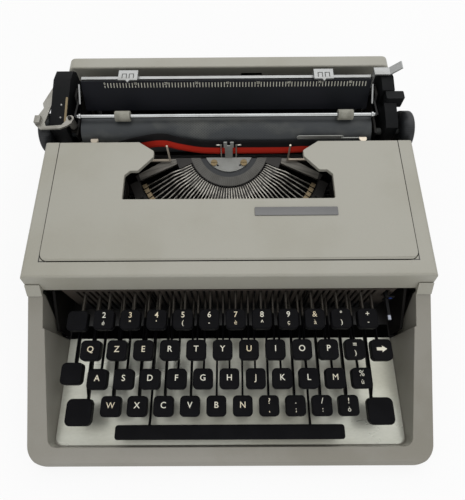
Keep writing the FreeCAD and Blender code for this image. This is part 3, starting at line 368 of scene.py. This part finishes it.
# ------------------------------------------------------------------ key comb
# The slotted plate behind the number keys that keeps the levers apart: brown-black lacquered
# steel, worn lighter in patches.
comb_lacquer = finish("comb lacquer", (62, 56, 51), (84, 76, 69), patch_scale=70,
                      patch_amount=0.5, roughness=0.5, grain_amount=0.4, metallic=0.1, gloss=0.3)
# its foot, below 26 mm, is near black
zone_colour(comb_lacquer, (-200, -60, 0), (200, 0, 26), (8, 8, 8), border=6)
soften("key_comb", comb_lacquer, crisp=True)

# ------------------------------------------------------------------ keys, levers and bars
# Square caps moulded in black satin plastic, each on a pressed steel lever. The levers are black
# in front and bare steel where they run up to the comb; the fulcrum wire carries them all.
cap_plastic = finish("cap plastic", (13, 13, 15), (20, 20, 22), patch_scale=80, patch_amount=0.5,
                     roughness=0.5, drift=0.2, grain_amount=0.12, bump=0.18, gloss=0.035)
zone_colour(cap_plastic, (-140, -56.8, 20), (140, 140, 60), (88, 84, 78), border=0.6,
            metallic=0.5)
keyboard = [n for n in parts if n.startswith("key_") and n != "key_comb"]
keyboard += ["number_row_keys", "bottom_row_keys", "shift_keys", "shift_lock",
             "margin_release_key", "backspace_key", "space_bar"]
for node in keyboard:
    soften(node, cap_plastic)
selector_steel = finish("selector steel", (15, 15, 16), roughness=0.5, gloss=0.1)
zone_colour(selector_steel, (116, -68, 47), (122, -60.5, 52), (150, 154, 164), border=0.4,
            metallic=0.5)
soften("colour_selector", selector_steel, 0.2)
# its plate has a dot of blue paint
blue_paint = finish("blue paint", (58, 84, 168), (40, 60, 130), roughness=0.4, gloss=0.3)
dot_radius = 1.2
dot_thickness = 0.16
dot_place = Matrix.Translation(Vector((121.6, -47.55, 50.4)) * mm)
mesh = bmesh.new()
bmesh.ops.create_cone(mesh, cap_ends=True, segments=20, radius1=dot_radius * mm,
                      radius2=dot_radius * mm, depth=dot_thickness * mm,
                      matrix=dot_place @ Matrix.Rotation(math.pi / 2, 4, "X"))
piece_from(mesh, "selector_dot", blue_paint, "colour_selector", smooth=False)

# ------------------------------------------------------------------ legends on the keytops
# Off-white characters, moulded through the black caps. Each one follows the dish of its own
# key's top and stands a hair proud of it.
legend_white = finish("legend white", (222, 220, 206), (214, 190, 140), patch_scale=28,
                      patch_amount=0.55, roughness=0.5, grain_amount=0.05, bump=0.0, gloss=0.3)
cap_pitch = 19.0
cap_width = 14.3
cap_rim = 1.2
dish = 0.5
capital_share = 0.7  # a capital's height as a share of the font's size
capital_height = 4.2
figure_height = 4.0
sign_height = 3.8
lower_height = 3.3
capital_rise, upper_rise, lower_rise = 0.5, 3.0, -2.7


def written(text, height, bold):
    """Flat text as a mesh, its capitals as high as that, centred on the origin."""
    curve = bpy.data.curves.new("lettering", "FONT")
    curve.body = text
    curve.align_x = "CENTER"
    curve.align_y = "CENTER"
    curve.offset = bold
    curve.extrude = 0.012
    curve.resolution_u = 4
    source = bpy.data.objects.new("lettering", curve)
    bpy.context.scene.collection.objects.link(source)
    bpy.context.view_layer.update()
    flat = bpy.data.meshes.new_from_object(source)
    bpy.data.objects.remove(source)
    bpy.data.curves.remove(curve)
    flat.transform(Matrix.Scale(height / capital_share * mm, 4))
    return flat


def add_written(mesh, text, x, y, height, bold):
    """Adds text at a place given in mm, still lying flat at height 0, and returns its vertices."""
    flat = written(text, height, bold)
    flat.transform(Matrix.Translation((x * mm, y * mm, 0)))
    before = len(mesh.verts)
    mesh.from_mesh(flat)
    bpy.data.meshes.remove(flat)
    mesh.verts.ensure_lookup_table()
    return mesh.verts[before:]


def lay_on_dish(verts, x, y, top, size):
    """Drops flat verts onto the shallow bowl of a keytop, a hair proud of it."""
    proud = 0.05
    reach = size / 2 - cap_rim
    ball = (reach * reach + dish * dish) / (2 * dish)
    for v in verts:
        dx, dy = v.co.x / mm - x, v.co.y / mm - y
        bowl = ball - math.sqrt(max(ball * ball - dx * dx - dy * dy, 0))
        v.co.z += (top - dish + bowl + proud) * mm


def legend(mesh, x, y, top, marks):
    """marks: one capital, or two characters one above the other."""
    if len(marks) == 1:
        spots = [(marks, capital_rise, capital_height)]
    else:
        full_size = marks[0].isalnum() or marks[0] in "&%"
        spots = [(marks[0], upper_rise, figure_height if full_size else sign_height),
                 (marks[1], lower_rise, lower_height)]
    for mark, rise, height in spots:
        # characters with much inside them are drawn with thinner lines
        bold = -0.004 if mark in "MW%&éèçàùò" else 0.006
        lay_on_dish(add_written(mesh, mark, x, y + rise, height, bold), x, y, top, cap_width)


number_marks = ("2é", '3"', "4'", "5(", "6-", "7è", "8^", "9ç", "&à", "°)", "+-")
# each row: its name, the first key's x, the row's y, its height and its marks
rows = (
    ("number", -90.25, -64.9, 60.0, number_marks),
    ("upper", -99.75, -85.3, 52.2, tuple("QZERTYUIOP") + ("=)",)),
    ("home", -95.0, -104.4, 44.4, tuple("ASDFGHJKLM") + ("%ù",)),
    ("bottom", -85.5, -122.4, 36.5, tuple("WXCVBN") + ("?,", ".;", "/:", "!ò")),
)
for row, first_x, row_y, row_top, characters in rows:
    whole_row = row in ("number", "bottom")
    mesh = bmesh.new()
    for i, marks in enumerate(characters):
        legend(mesh, first_x + i * cap_pitch, row_y, row_top, marks)
        if not whole_row:
            key = "key_" + (marks.lower() if len(marks) == 1 else row + "_symbol")
            piece_from(mesh, "legend_" + key[4:], legend_white, key, smooth=False)
            mesh = bmesh.new()
    if whole_row:
        piece_from(mesh, "legends_" + row, legend_white, row + "_row_keys",
                   smooth=False)
    else:
        mesh.free()

backspace_x = 109.25
backspace_y = -85.9
backspace_top = 52.0
backspace_width = 15.0
arrow_rise = 0.5
arrow_thickness = 0.1
arrow = [(-3.6, -1.1), (0.3, -1.1), (0.3, -2.3), (3.8, 0), (0.3, 2.3), (0.3, 1.1), (-3.6, 1.1)]
mesh = bmesh.new()
corners = [mesh.verts.new(((backspace_x + x) * mm, (backspace_y + arrow_rise + y) * mm, 0))
           for x, y in arrow]
raised = bmesh.ops.extrude_face_region(mesh, geom=[mesh.faces.new(corners)])["geom"]
for v in raised:
    if isinstance(v, bmesh.types.BMVert):
        v.co.z += arrow_thickness * mm
lay_on_dish(mesh.verts, backspace_x, backspace_y, backspace_top, backspace_width)
piece_from(mesh, "legend_backspace", legend_white, "backspace_key", smooth=False)

# ------------------------------------------------------------------ type basket
# A cast segment with a fan of milled slots, the typebars that lie in it, and the plated guide
# that squares each type at the print point; the type slugs at the bars' ends look brassy.
basket_centre = (0, 84.0 * mm, 62.2 * mm)
cast_grey = finish("segment casting", (92, 91, 87), (72, 70, 65), patch_scale=90,
                   patch_amount=0.5, roughness=0.45, grain_amount=0.3, bump=0.25, metallic=0.25,
                   gloss=0.3)


def ring_colour(material, inner, outer, colour, centre=basket_centre):
    """Another colour between two distances, in mm, from the centre."""
    border = 0.15
    tree = material.node_tree
    reach = tree.nodes.new("ShaderNodeVectorMath")
    reach.operation = "DISTANCE"
    feed(tree, reach, i0=object_place(tree), i1=centre)
    distance = reach.outputs["Value"]
    far = ramp(tree, distance, (inner - border) * mm, (inner + border) * mm)
    near = ramp(tree, distance, (outer - border) * mm, (outer + border) * mm, 1.0, 0.0)
    tint(material, maths(tree, "MULTIPLY", far, near), colour)


# from the middle outwards: the hollow, a dark band, the fan of slots and wings painted lighter
# against the shade that falls on them (painted light), and the dark rim
for inner, outer, colour in ((0, 26.05, (56, 58, 60)), (33.6, 46.4, (50, 48, 46)),
                             (46.4, 80.5, (120, 117, 110)), (80.5, 95, (50, 48, 46))):
    ring_colour(cast_grey, inner, outer, colour)
# the saw that milled the slots has left fine lines that run out from the middle
line_pitch = 3.1  # degrees
fan_slope = math.radians(20)
tree = cast_grey.node_tree
x, y, z = place_parts(tree)
down_slope = maths(tree, "DIVIDE", maths(tree, "SUBTRACT", basket_centre[1], y),
                   math.cos(fan_slope))
turns = maths(tree, "MULTIPLY", maths(tree, "ARCTAN2", x, down_slope), 360 / line_pitch)
saw_lines = ramp(tree, maths(tree, "SINE", turns), 0.1, 0.9, 0, 0.3)
tint(cast_grey, saw_lines, (44, 43, 41))
soften("type_segment", cast_grey, crisp=True)
typebar_steel = finish("typebar steel", (150, 147, 139), (58, 55, 51), patch_scale=170,
                       patch_amount=0.7, roughness=0.3, grain_amount=0.3, metallic=0.75)
ring_colour(typebar_steel, 76.9, 90, (128, 113, 88))
soften("typebars", typebar_steel, crisp=True)
guide_plate = finish("guide plate", (150, 151, 147), (124, 123, 117), patch_scale=110,
                     patch_amount=0.35, roughness=0.5, bump=0.1, metallic=0.2, gloss=0.3)
# the guide's two screws are brassy
screw_radius = 2.95
for screw_x in (-12.6, 12.6):
    ring_colour(guide_plate, -1, screw_radius, (142, 124, 90),
                Vector((screw_x, 70.6, 58.36)) * mm)
soften("type_guide", guide_plate, crisp=True)

# ------------------------------------------------------------------ ribbon, spools and carrier
# Cotton typing ribbon, black above and red below, wound on two plastic spools. It runs slack
# over a wire hook on the left and passes through the wire carrier in front of the platen.
# Each station gives x, y and z of the ribbon's lower edge, and its lean in degrees.
stations = [
    (-106.0, 74.8, 56.5, 0.0), (-92.0, 76.25, 63.7, 8.4), (-67.8, 77.85, 69.2, 14.0),
    (-52.8, 78.05, 70.5, 16.1), (-40.8, 77.75, 66.7, 15.4), (-24.8, 77.25, 63.0, 14.0),
    (-10.3, 77.15, 62.0, 14.0), (10.3, 77.15, 62.0, 14.0), (45.8, 77.15, 62.0, 14.0),
    (65.8, 77.35, 62.85, 14.0), (89.0, 76.25, 60.2, 7.0), (106.0, 74.8, 56.5, 0.0),
]
ribbon_width = 13.0
ribbon_thickness = 0.12


def along_ribbon(t):
    """The station at t (0 to the last one's number), on a smooth curve through them all."""
    i = min(int(t), len(stations) - 2)
    u = t - i
    around = [stations[max(0, min(len(stations) - 1, i + k))] for k in (-1, 0, 1, 2)]
    weights = (-0.5 * u + u * u - 0.5 * u ** 3, 1 - 2.5 * u * u + 1.5 * u ** 3,
               0.5 * u + 2 * u * u - 1.5 * u ** 3, -0.5 * u * u + 0.5 * u ** 3)
    return [sum(w * a[k] for w, a in zip(weights, around)) for k in range(4)]


lengths = 88
mesh = bmesh.new()
bmesh.ops.create_grid(mesh, x_segments=lengths, y_segments=6, size=0.5)
layer = mesh.loops.layers.uv.new("ribbon")
for face in mesh.faces:
    for loop in face.loops:
        loop[layer].uv = (loop.vert.co.x + 0.5, loop.vert.co.y + 0.5)
for v in sorted(mesh.verts, key=lambda v: (round(v.co.y, 4), v.co.x)):
    across = v.co.y + 0.5
    x, y, z, lean = along_ribbon((v.co.x + 0.5) * (len(stations) - 1))
    lean = math.radians(lean)
    v.co = Vector((x, y + across * ribbon_width * math.sin(lean),
                   z + across * ribbon_width * math.cos(lean))) * mm
ribbon_cloth = finish("ribbon cloth", (24, 23, 24), (34, 32, 33), patch_scale=60,
                      patch_amount=0.5, roughness=0.85, grain_scale=2600, grain_amount=0.3,
                      bump=0.3, gloss=0.1)
tree = ribbon_cloth.node_tree
split = tree.nodes.new("ShaderNodeSeparateXYZ")
ribbon_map = tree.nodes.new("ShaderNodeUVMap")
ribbon_map.uv_map = "ribbon"
tree.links.new(ribbon_map.outputs[0], split.inputs[0])
tint(ribbon_cloth, ramp(tree, split.outputs[1], 0.52, 0.46), (194, 48, 34))
ribbon_piece = piece_from(mesh, "inked_ribbon", ribbon_cloth, "chassis")
ribbon_piece.modifiers.clear()
thick = ribbon_piece.modifiers.new("cloth thickness", "SOLIDIFY")
thick.thickness = ribbon_thickness * mm
thick.offset = 0.0
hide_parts("ribbon")
spool_black = finish("spool black", (28, 28, 28), (44, 43, 42), roughness=0.5, gloss=0.3)
soften("spool_left", spool_black, 0.15)
soften("spool_right", spool_black, 0.15)
wire_steel = finish("wire steel", (188, 184, 176), (140, 130, 116), patch_scale=160,
                    patch_amount=0.4, roughness=0.3, bump=0.03, metallic=0.8)
soften("ribbon_vibrator", wire_steel)

# ------------------------------------------------------------------ card strip
# A narrow plated strip with rounded ends in front of the platen, on a wire from the right post;
# it holds the lower edge of a card against the roller.
strip_front = 81.2
wire_low = 76.6
wire_high = 77.4
mesh = bmesh.new()
block(mesh, (55.8, strip_front, 75.2), (94.0, 81.7, 79.4))
rounded(mesh, [e for e in mesh.edges if runs_along(e, 1)], 2.0, 5)
block(mesh, (92.0, 80.4, wire_low), (108.4, strip_front, wire_high))
block(mesh, (108.0, 78.4, wire_low), (108.8, strip_front, wire_high))
piece_from(mesh, "card_strip", guide_plate, "chassis", smooth=False)

# ------------------------------------------------------------------ platen and its knobs
# A steel tube clad in hard grey rubber, worn in patches, with faint rows of dents where the type
# strikes. The knobs at its ends are black plastic with ribs for the fingers.
platen_y = 96.0
platen_z = 66.0
platen_rubber = finish("platen rubber", (56, 59, 61), (96, 97, 93), patch_scale=46,
                       patch_amount=0.7, roughness=0.55, drift=0.25, grain_scale=1800,
                       grain_amount=0.25, bump=0.15, gloss=0.25, stretch=(0.6, 1, 1))
letter_pitch = 2.54
dent_rows = 46.0
typed_middle = 30
typed_end = 86


def round_platen(tree, y, z):
    """How far round the platen's axis a point lies, in radians."""
    return maths(tree, "ARCTAN2", maths(tree, "SUBTRACT", z, platen_z * mm),
                 maths(tree, "SUBTRACT", y, platen_y * mm))


tree = platen_rubber.node_tree
x, y, z = place_parts(tree)
columns = maths(tree, "SINE", maths(tree, "MULTIPLY", x, math.tau / (letter_pitch * mm)))
lines = maths(tree, "SINE", maths(tree, "MULTIPLY", round_platen(tree, y, z), dent_rows))
dents = ramp(tree, maths(tree, "MULTIPLY", columns, lines), 0.3, 0.8)
typed = ramp(tree, maths(tree, "ABSOLUTE", x), typed_end * mm, typed_middle * mm)
dents = maths(tree, "MULTIPLY", maths(tree, "MULTIPLY", dents, typed), 0.6)
tint(platen_rubber, dents, (28, 30, 31))
soften("platen", platen_rubber, 0.3)
black_plastic = finish("black plastic", (20, 21, 22), (30, 30, 31), patch_scale=60,
                       patch_amount=0.5, roughness=0.5, grain_amount=0.15, bump=0.25, gloss=0.08)
knob_plastic = finish("knob plastic", (36, 38, 40), (27, 28, 30), patch_scale=60,
                      patch_amount=0.5, roughness=0.45, grain_amount=0.15, bump=0.2, gloss=0.3)
rib_count = 60.0
tree = knob_plastic.node_tree
x, y, z = place_parts(tree)
groove_shade_waves = maths(tree, "SINE", maths(tree, "MULTIPLY", round_platen(tree, y, z), rib_count))
# dark stripes between the finger ribs: painted shade of the grooves
tint(knob_plastic, ramp(tree, groove_shade_waves, -0.2, -0.9, 0, 0.6), (14, 14, 15))
soften("platen_knobs", knob_plastic)

# ------------------------------------------------------------------ carriage frame and end covers
# A pressed steel tray between two cheeks runs on the rails and carries the platen. Black moulded
# covers hide its ends, and the drum that pulls it stands in the case below.
soften("carriage_frame", dark_steel, 0.2)
soften("carriage_end_left", black_plastic, 0.8, 3)
soften("carriage_end_right", black_plastic, 0.8, 3)
soften("carriage_release_lever", black_plastic, 0.4)
soften("mainspring_drum", bare_steel, 0.2)

# ------------------------------------------------------------------ paper table and its scale
# Black enamelled steel sheet behind the platen. A scale of 85 letter spaces is printed in
# off-white along its top edge, numbered every ten.
table_enamel = finish("table enamel", (22, 23, 28), (16, 19, 21), patch_scale=20,
                      patch_amount=0.6, roughness=0.5, grain_amount=0.2, bump=0.12, gloss=0.08)
soften("paper_table", table_enamel, 0.3)
table_foot = Vector((0, 113.5, 74.0)) * mm
table_edge = Vector((0, 126.0, 95.0)) * mm
up_table = (table_edge - table_foot).normalized()
off_table = Vector((0, -up_table.z, up_table.y))
scale_print = finish("scale print", (196, 194, 180), (160, 156, 140), patch_scale=90,
                     patch_amount=0.5, roughness=0.6, bump=0.0, gloss=0.2)
scale_start = -102.3
mark_half_width = 0.32
mark_foot = -5.4


def lay_on_table(verts):
    """Stands flat print (x across, y up from the table's top edge) on the leaning table."""
    for v in verts:
        v.co = (table_edge + Vector((v.co.x, 0, 0)) + up_table * v.co.y
                + off_table * (v.co.z + 0.06 * mm))


mesh = bmesh.new()
for space in range(86):
    x = scale_start + space * letter_pitch
    numbered = space % 10 == 0
    mark_top = -3.7 if numbered else -1.6
    lay_on_table(block(mesh, (x - mark_half_width, mark_foot, -0.03),
                       (x + mark_half_width, mark_top, 0.03)))
    if numbered:
        lay_on_table(add_written(mesh, str(space), x, -2.2, height=1.9, bold=0.012))
piece_from(mesh, "paper_scale", scale_print, "carriage", smooth=False)

# ------------------------------------------------------------------ margin rail and stops
# A bright square aluminium bar, fixed across the carriage behind the platen. A stop slides along
# it near each end, and a bent plate on each stop points at the scale.
satin_aluminium = finish("satin aluminium", (150, 151, 150), (122, 122, 118), patch_scale=80,
                         patch_amount=0.5, roughness=0.4, bump=0.06, metallic=0.7,
                         stretch=(0.3, 1, 1))
soften("margin_rail", satin_aluminium, 0.25)
soften("margin_stop_left", satin_aluminium, 0.25)
soften("margin_stop_right", satin_aluminium, 0.25)
# two dark arches mark each stop's plate
stamp_grey = finish("stamp grey", (66, 66, 64), (88, 87, 84), roughness=0.6, gloss=0.2)
arch_spacing = 2.9
arch_foot, arch_neck, arch_top = 126.6, 131.0, 131.7
arch_inside, arch_outside = 1.4, 2.1
stop_top = 97.15
for side, x in (("left", -82.5), ("right", 78.5)):
    mesh = bmesh.new()
    for middle in (x - arch_spacing, x + arch_spacing):
        for left, right, front, back in ((-arch_outside, -arch_inside, arch_foot, arch_neck),
                                         (arch_inside, arch_outside, arch_foot, arch_neck),
                                         (-arch_outside, arch_outside, arch_neck, arch_top)):
            block(mesh, (middle + left, front, stop_top), (middle + right, back, stop_top + 0.08))
    piece_from(mesh, "stop_marks_" + side, stamp_grey, "margin_stop_" + side,
               smooth=False)

# ------------------------------------------------------------------ paper bail
# A chromed rod on two black steel arms, hinged on the carriage, that holds the paper down. It
# has turned collars at its ends and two grey rubber rollers that press on the paper.
chrome = finish("chrome", (158, 160, 160), (128, 128, 126), patch_scale=50, patch_amount=0.4,
                roughness=0.2, drift=0.08, bump=0.0, metallic=1.0)
for arm_left, arm_right in ((-140, -123.3), (119.1, 135.8)):
    zone_colour(chrome, (arm_left, 80, 70), (arm_right, 140, 100), (26, 26, 26), border=0.1)
soften("paper_bail", chrome, crisp=True)
roller_rubber = finish("roller rubber", (148, 147, 136), (104, 102, 94), patch_scale=150,
                       patch_amount=0.6, roughness=0.6, grain_amount=0.35, bump=0.3, gloss=0.3)
soften("bail_rollers", roller_rubber, 0.5)
bail_middle = -2.0
bail_y = 97.0
bail_z = 86.0
collar_reach = 118.9
collar_radius = 2.5
collar_width = 1.8
mesh = bmesh.new()
for x in (bail_middle - collar_reach, bail_middle + collar_reach):
    place = Matrix.Translation(Vector((x, bail_y, bail_z)) * mm)
    bmesh.ops.create_cone(mesh, cap_ends=True, segments=28, radius1=collar_radius * mm,
                          radius2=collar_radius * mm, depth=collar_width * mm,
                          matrix=place @ Matrix.Rotation(math.pi / 2, 4, "Y"))
rounded(mesh, [e for e in mesh.edges if abs(e.calc_face_angle(0)) > 1.0], 0.4, 2)
piece_from(mesh, "bail_collars", chrome, "paper_bail")

# ------------------------------------------------------------------ strips on the end covers
# Small springy strips beside the paper: an aluminium one at each end of the paper table, and a
# brass one along the inner edge of the left end cover, next to two steel rivets.


def strip(mesh, start, end, width):
    """A flat bar between two points given in mm, its ends rounded; width lies along X."""
    thickness = 0.5
    start, end = Vector(start) * mm, Vector(end) * mm
    half_length = (end - start).length / mm / 2
    verts = block(mesh, (-width / 2, -half_length, -thickness / 2),
                  (width / 2, half_length, thickness / 2))
    corners = {e for v in verts for e in v.link_edges if runs_along(e, 2)}
    made = bmesh.ops.bevel(mesh, geom=list(corners), offset=width * 0.45 * mm, segments=3,
                           profile=0.5, affect="EDGES", material=-1)["verts"]
    turn = (end - start).to_track_quat("Y", "Z").to_matrix().to_4x4()
    bar = set(made) | {v for v in verts if v.is_valid}
    bmesh.ops.transform(mesh, verts=list(bar), space=Matrix.Identity(4),
                        matrix=Matrix.Translation((start + end) / 2) @ turn)


brass = finish("brass", (132, 118, 92), (96, 84, 64), patch_scale=120, patch_amount=0.5,
               roughness=0.35, bump=0.05, metallic=0.7)
mesh = bmesh.new()
side_strip_width = 1.2
brass_strip_width = 1.8
strip(mesh, (118.4, 108.0, 86.2), (118.4, 121.5, 94.2), side_strip_width)
strip(mesh, (-122.4, 109.0, 87.0), (-122.4, 122.5, 95.2), side_strip_width)
piece_from(mesh, "paper_side_strips", satin_aluminium, "carriage", smooth=False)
rivet_radius = 0.95
mesh = bmesh.new()
for rivet_place in ((-138.2, 98.4, 83.3), (-137.2, 107.6, 87.9)):
    bmesh.ops.create_uvsphere(mesh, u_segments=14, v_segments=8, radius=rivet_radius * mm,
                              matrix=Matrix.Translation(Vector(rivet_place) * mm))
piece_from(mesh, "end_cover_rivets", bare_steel, "carriage")
mesh = bmesh.new()
strip(mesh, (-134.6, 94.6, 81.75), (-132.3, 113.0, 90.95), brass_strip_width)
piece_from(mesh, "end_cover_strip", brass, "carriage", smooth=False)

# ------------------------------------------------------------------ levers on the carriage
# The return lever is pressed from plated steel, and the paper release lever is bent from satin
# aluminium strip.
lever_steel = finish("lever steel", (136, 134, 127), (104, 101, 93), patch_scale=90,
                     patch_amount=0.5, roughness=0.42, bump=0.06, metallic=0.6)
soften("return_lever", lever_steel, 0.3)
soften("paper_release_lever", satin_aluminium, 0.25)

# ------------------------------------------------------------------ housing, cover and back panel
# Mouldings of the same warm grey plastic as the case: the housing carries the lift-off cover,
# and the back panel closes the rear above the case.
# the joint between cover and housing is a dark line on three sides
joint_inner, joint_outer = 135.7, 136.5
joint_front, joint_back = -27.7, 76
joint_width = 0.8
for left, right, back in ((-joint_outer, -joint_inner, joint_back),
                          (joint_inner, joint_outer, joint_back),
                          (-joint_outer, joint_outer, joint_front + joint_width)):
    zone_colour(case_plastic, (left, joint_front, 68), (right, back, 84), (30, 29, 27),
                border=0.12)
soften("upper_housing", case_plastic, 0.3)
soften("ribbon_cover", case_plastic, 0.5, 3)
soften("rear_panel", case_plastic, 0.3)
# a black sheet where the panel's front face has a slot: painted shade
mesh = bmesh.new()
block(mesh, (11.2, 150.42, 76.9), (29.4, 150.6, 79.0))
piece_from(mesh, "back_panel_slot_shade", shade_black, "chassis", smooth=False)

# ------------------------------------------------------------------ badge plate
# A small stamped metal plate, fixed flat on the cover in front of its window. It is bare, with
# nothing written on it.
badge_metal = finish("badge metal", (92, 92, 92), (78, 78, 78), patch_scale=60, patch_amount=0.4,
                     roughness=0.42, bump=0.05, metallic=0.5, stretch=(0.2, 1, 1))
badge_foot = 79.84  # the cover's height under the plate's middle
badge_left, badge_right = 19.5, 81.7
badge_front, badge_back = 7.9, 14.9
badge_thickness = 0.7
cover_slope = 0.0169
mesh = bmesh.new()
block(mesh, (badge_left, badge_front, 0), (badge_right, badge_back, badge_thickness))
rounded(mesh, [e for e in mesh.edges if runs_along(e, 2)], 0.6, 3)
rounded(mesh, [e for e in mesh.edges
               if min(v.co.z for v in e.verts) > 0.6 * mm and e.calc_face_angle(0) > 1.0], 0.2, 2)
for v in mesh.verts:
    from_middle = v.co.y / mm - (badge_front + badge_back) / 2
    v.co.z += (badge_foot + from_middle * cover_slope) * mm
piece_from(mesh, "badge_plate", badge_metal, "ribbon_cover")

# ------------------------------------------------------------------ floor, light and camera
# A plain pale floor under soft even studio light: a bright room, one wide lamp overhead and a
# weaker one in front.


def seen_rays(tree):
    """1 for the rays that see the background: from the camera, and off or through shiny things."""
    path = tree.nodes.new("ShaderNodeLightPath")
    seen = maths(tree, "MAXIMUM", path.outputs["Is Camera Ray"], path.outputs["Is Glossy Ray"])
    return maths(tree, "MAXIMUM", seen, path.outputs["Is Transmission Ray"])


room_strength = 0.46
world = bpy.data.worlds.new("studio")
world.use_nodes = True
tree = world.node_tree
strength = tree.nodes.new("ShaderNodeMapRange")
feed(tree, strength, i0=seen_rays(tree), i1=0.0, i2=1.0, i3=room_strength, i4=1.0)
backdrop = tree.nodes["Background"]
backdrop.inputs["Color"].default_value = (1, 1, 1, 1)
tree.links.new(strength.outputs[0], backdrop.inputs["Strength"])
bpy.context.scene.world = world

floor_half_width = 3.0  # metres
floor_glow = 0.88
mesh = bmesh.new()
bmesh.ops.create_grid(mesh, x_segments=1, y_segments=1, size=floor_half_width)
floor_data = bpy.data.meshes.new("floor")
mesh.to_mesh(floor_data)
mesh.free()
floor = bpy.data.objects.new("floor", floor_data)
bpy.context.scene.collection.objects.link(floor)
floor_paint = bpy.data.materials.new("floor paint")
floor_paint.use_nodes = True
tree = floor_paint.node_tree
surface = tree.nodes["Principled BSDF"]
surface.inputs["Base Color"].default_value = tone(238, 238, 238)
surface.inputs["Roughness"].default_value = 0.9
surface.inputs["Specular IOR Level"].default_value = 0.1
glow = tree.nodes.new("ShaderNodeEmission")
blend = tree.nodes.new("ShaderNodeMixShader")
feed(tree, blend, i0=maths(tree, "MULTIPLY", seen_rays(tree), floor_glow), i1=surface.outputs[0],
     i2=glow.outputs[0])
tree.links.new(blend.outputs[0], tree.nodes["Material Output"].inputs["Surface"])
wear(floor, floor_paint)

# each lamp: its name, its width and length, its power, its place in metres and its tilt
for name, size, energy, place, tilt in (
        ("overhead lamp", (2.0, 1.6), 15.5, (0.25, 0.7, 1.4), -28),
        ("front fill", (1.8, 0.7), 3.9, (0.1, -1.15, 0.5), 68)):
    lamp_data = bpy.data.lights.new(name, "AREA")
    lamp_data.shape = "RECTANGLE"
    lamp_data.size, lamp_data.size_y = size
    lamp_data.energy = energy
    lamp = bpy.data.objects.new(name, lamp_data)
    lamp.location = place
    lamp.rotation_euler = (math.radians(tilt), 0, 0)
    bpy.context.scene.collection.objects.link(lamp)

camera_place = (0.00395, -0.13848, 0.35395)
camera_turn, camera_tilt, camera_roll = 0.5504, 23.411, -0.8638  # degrees
camera_data = bpy.data.cameras.new("camera")
camera_data.lens = 29.988
camera_data.sensor_width = 36.0
camera_data.sensor_fit = "AUTO"
camera_data.clip_start = 0.01
camera = bpy.data.objects.new("camera", camera_data)
bpy.context.scene.collection.objects.link(camera)
camera.matrix_world = (
    Matrix.Translation(camera_place)
    @ Matrix.Rotation(math.radians(camera_turn), 4, "Z")
    @ Matrix.Rotation(math.radians(camera_tilt), 4, "X")
    @ Matrix.Rotation(math.radians(camera_roll), 4, "Z")
)
bpy.context.scene.camera = camera
bpy.context.scene.view_settings.view_transform = "Standard"
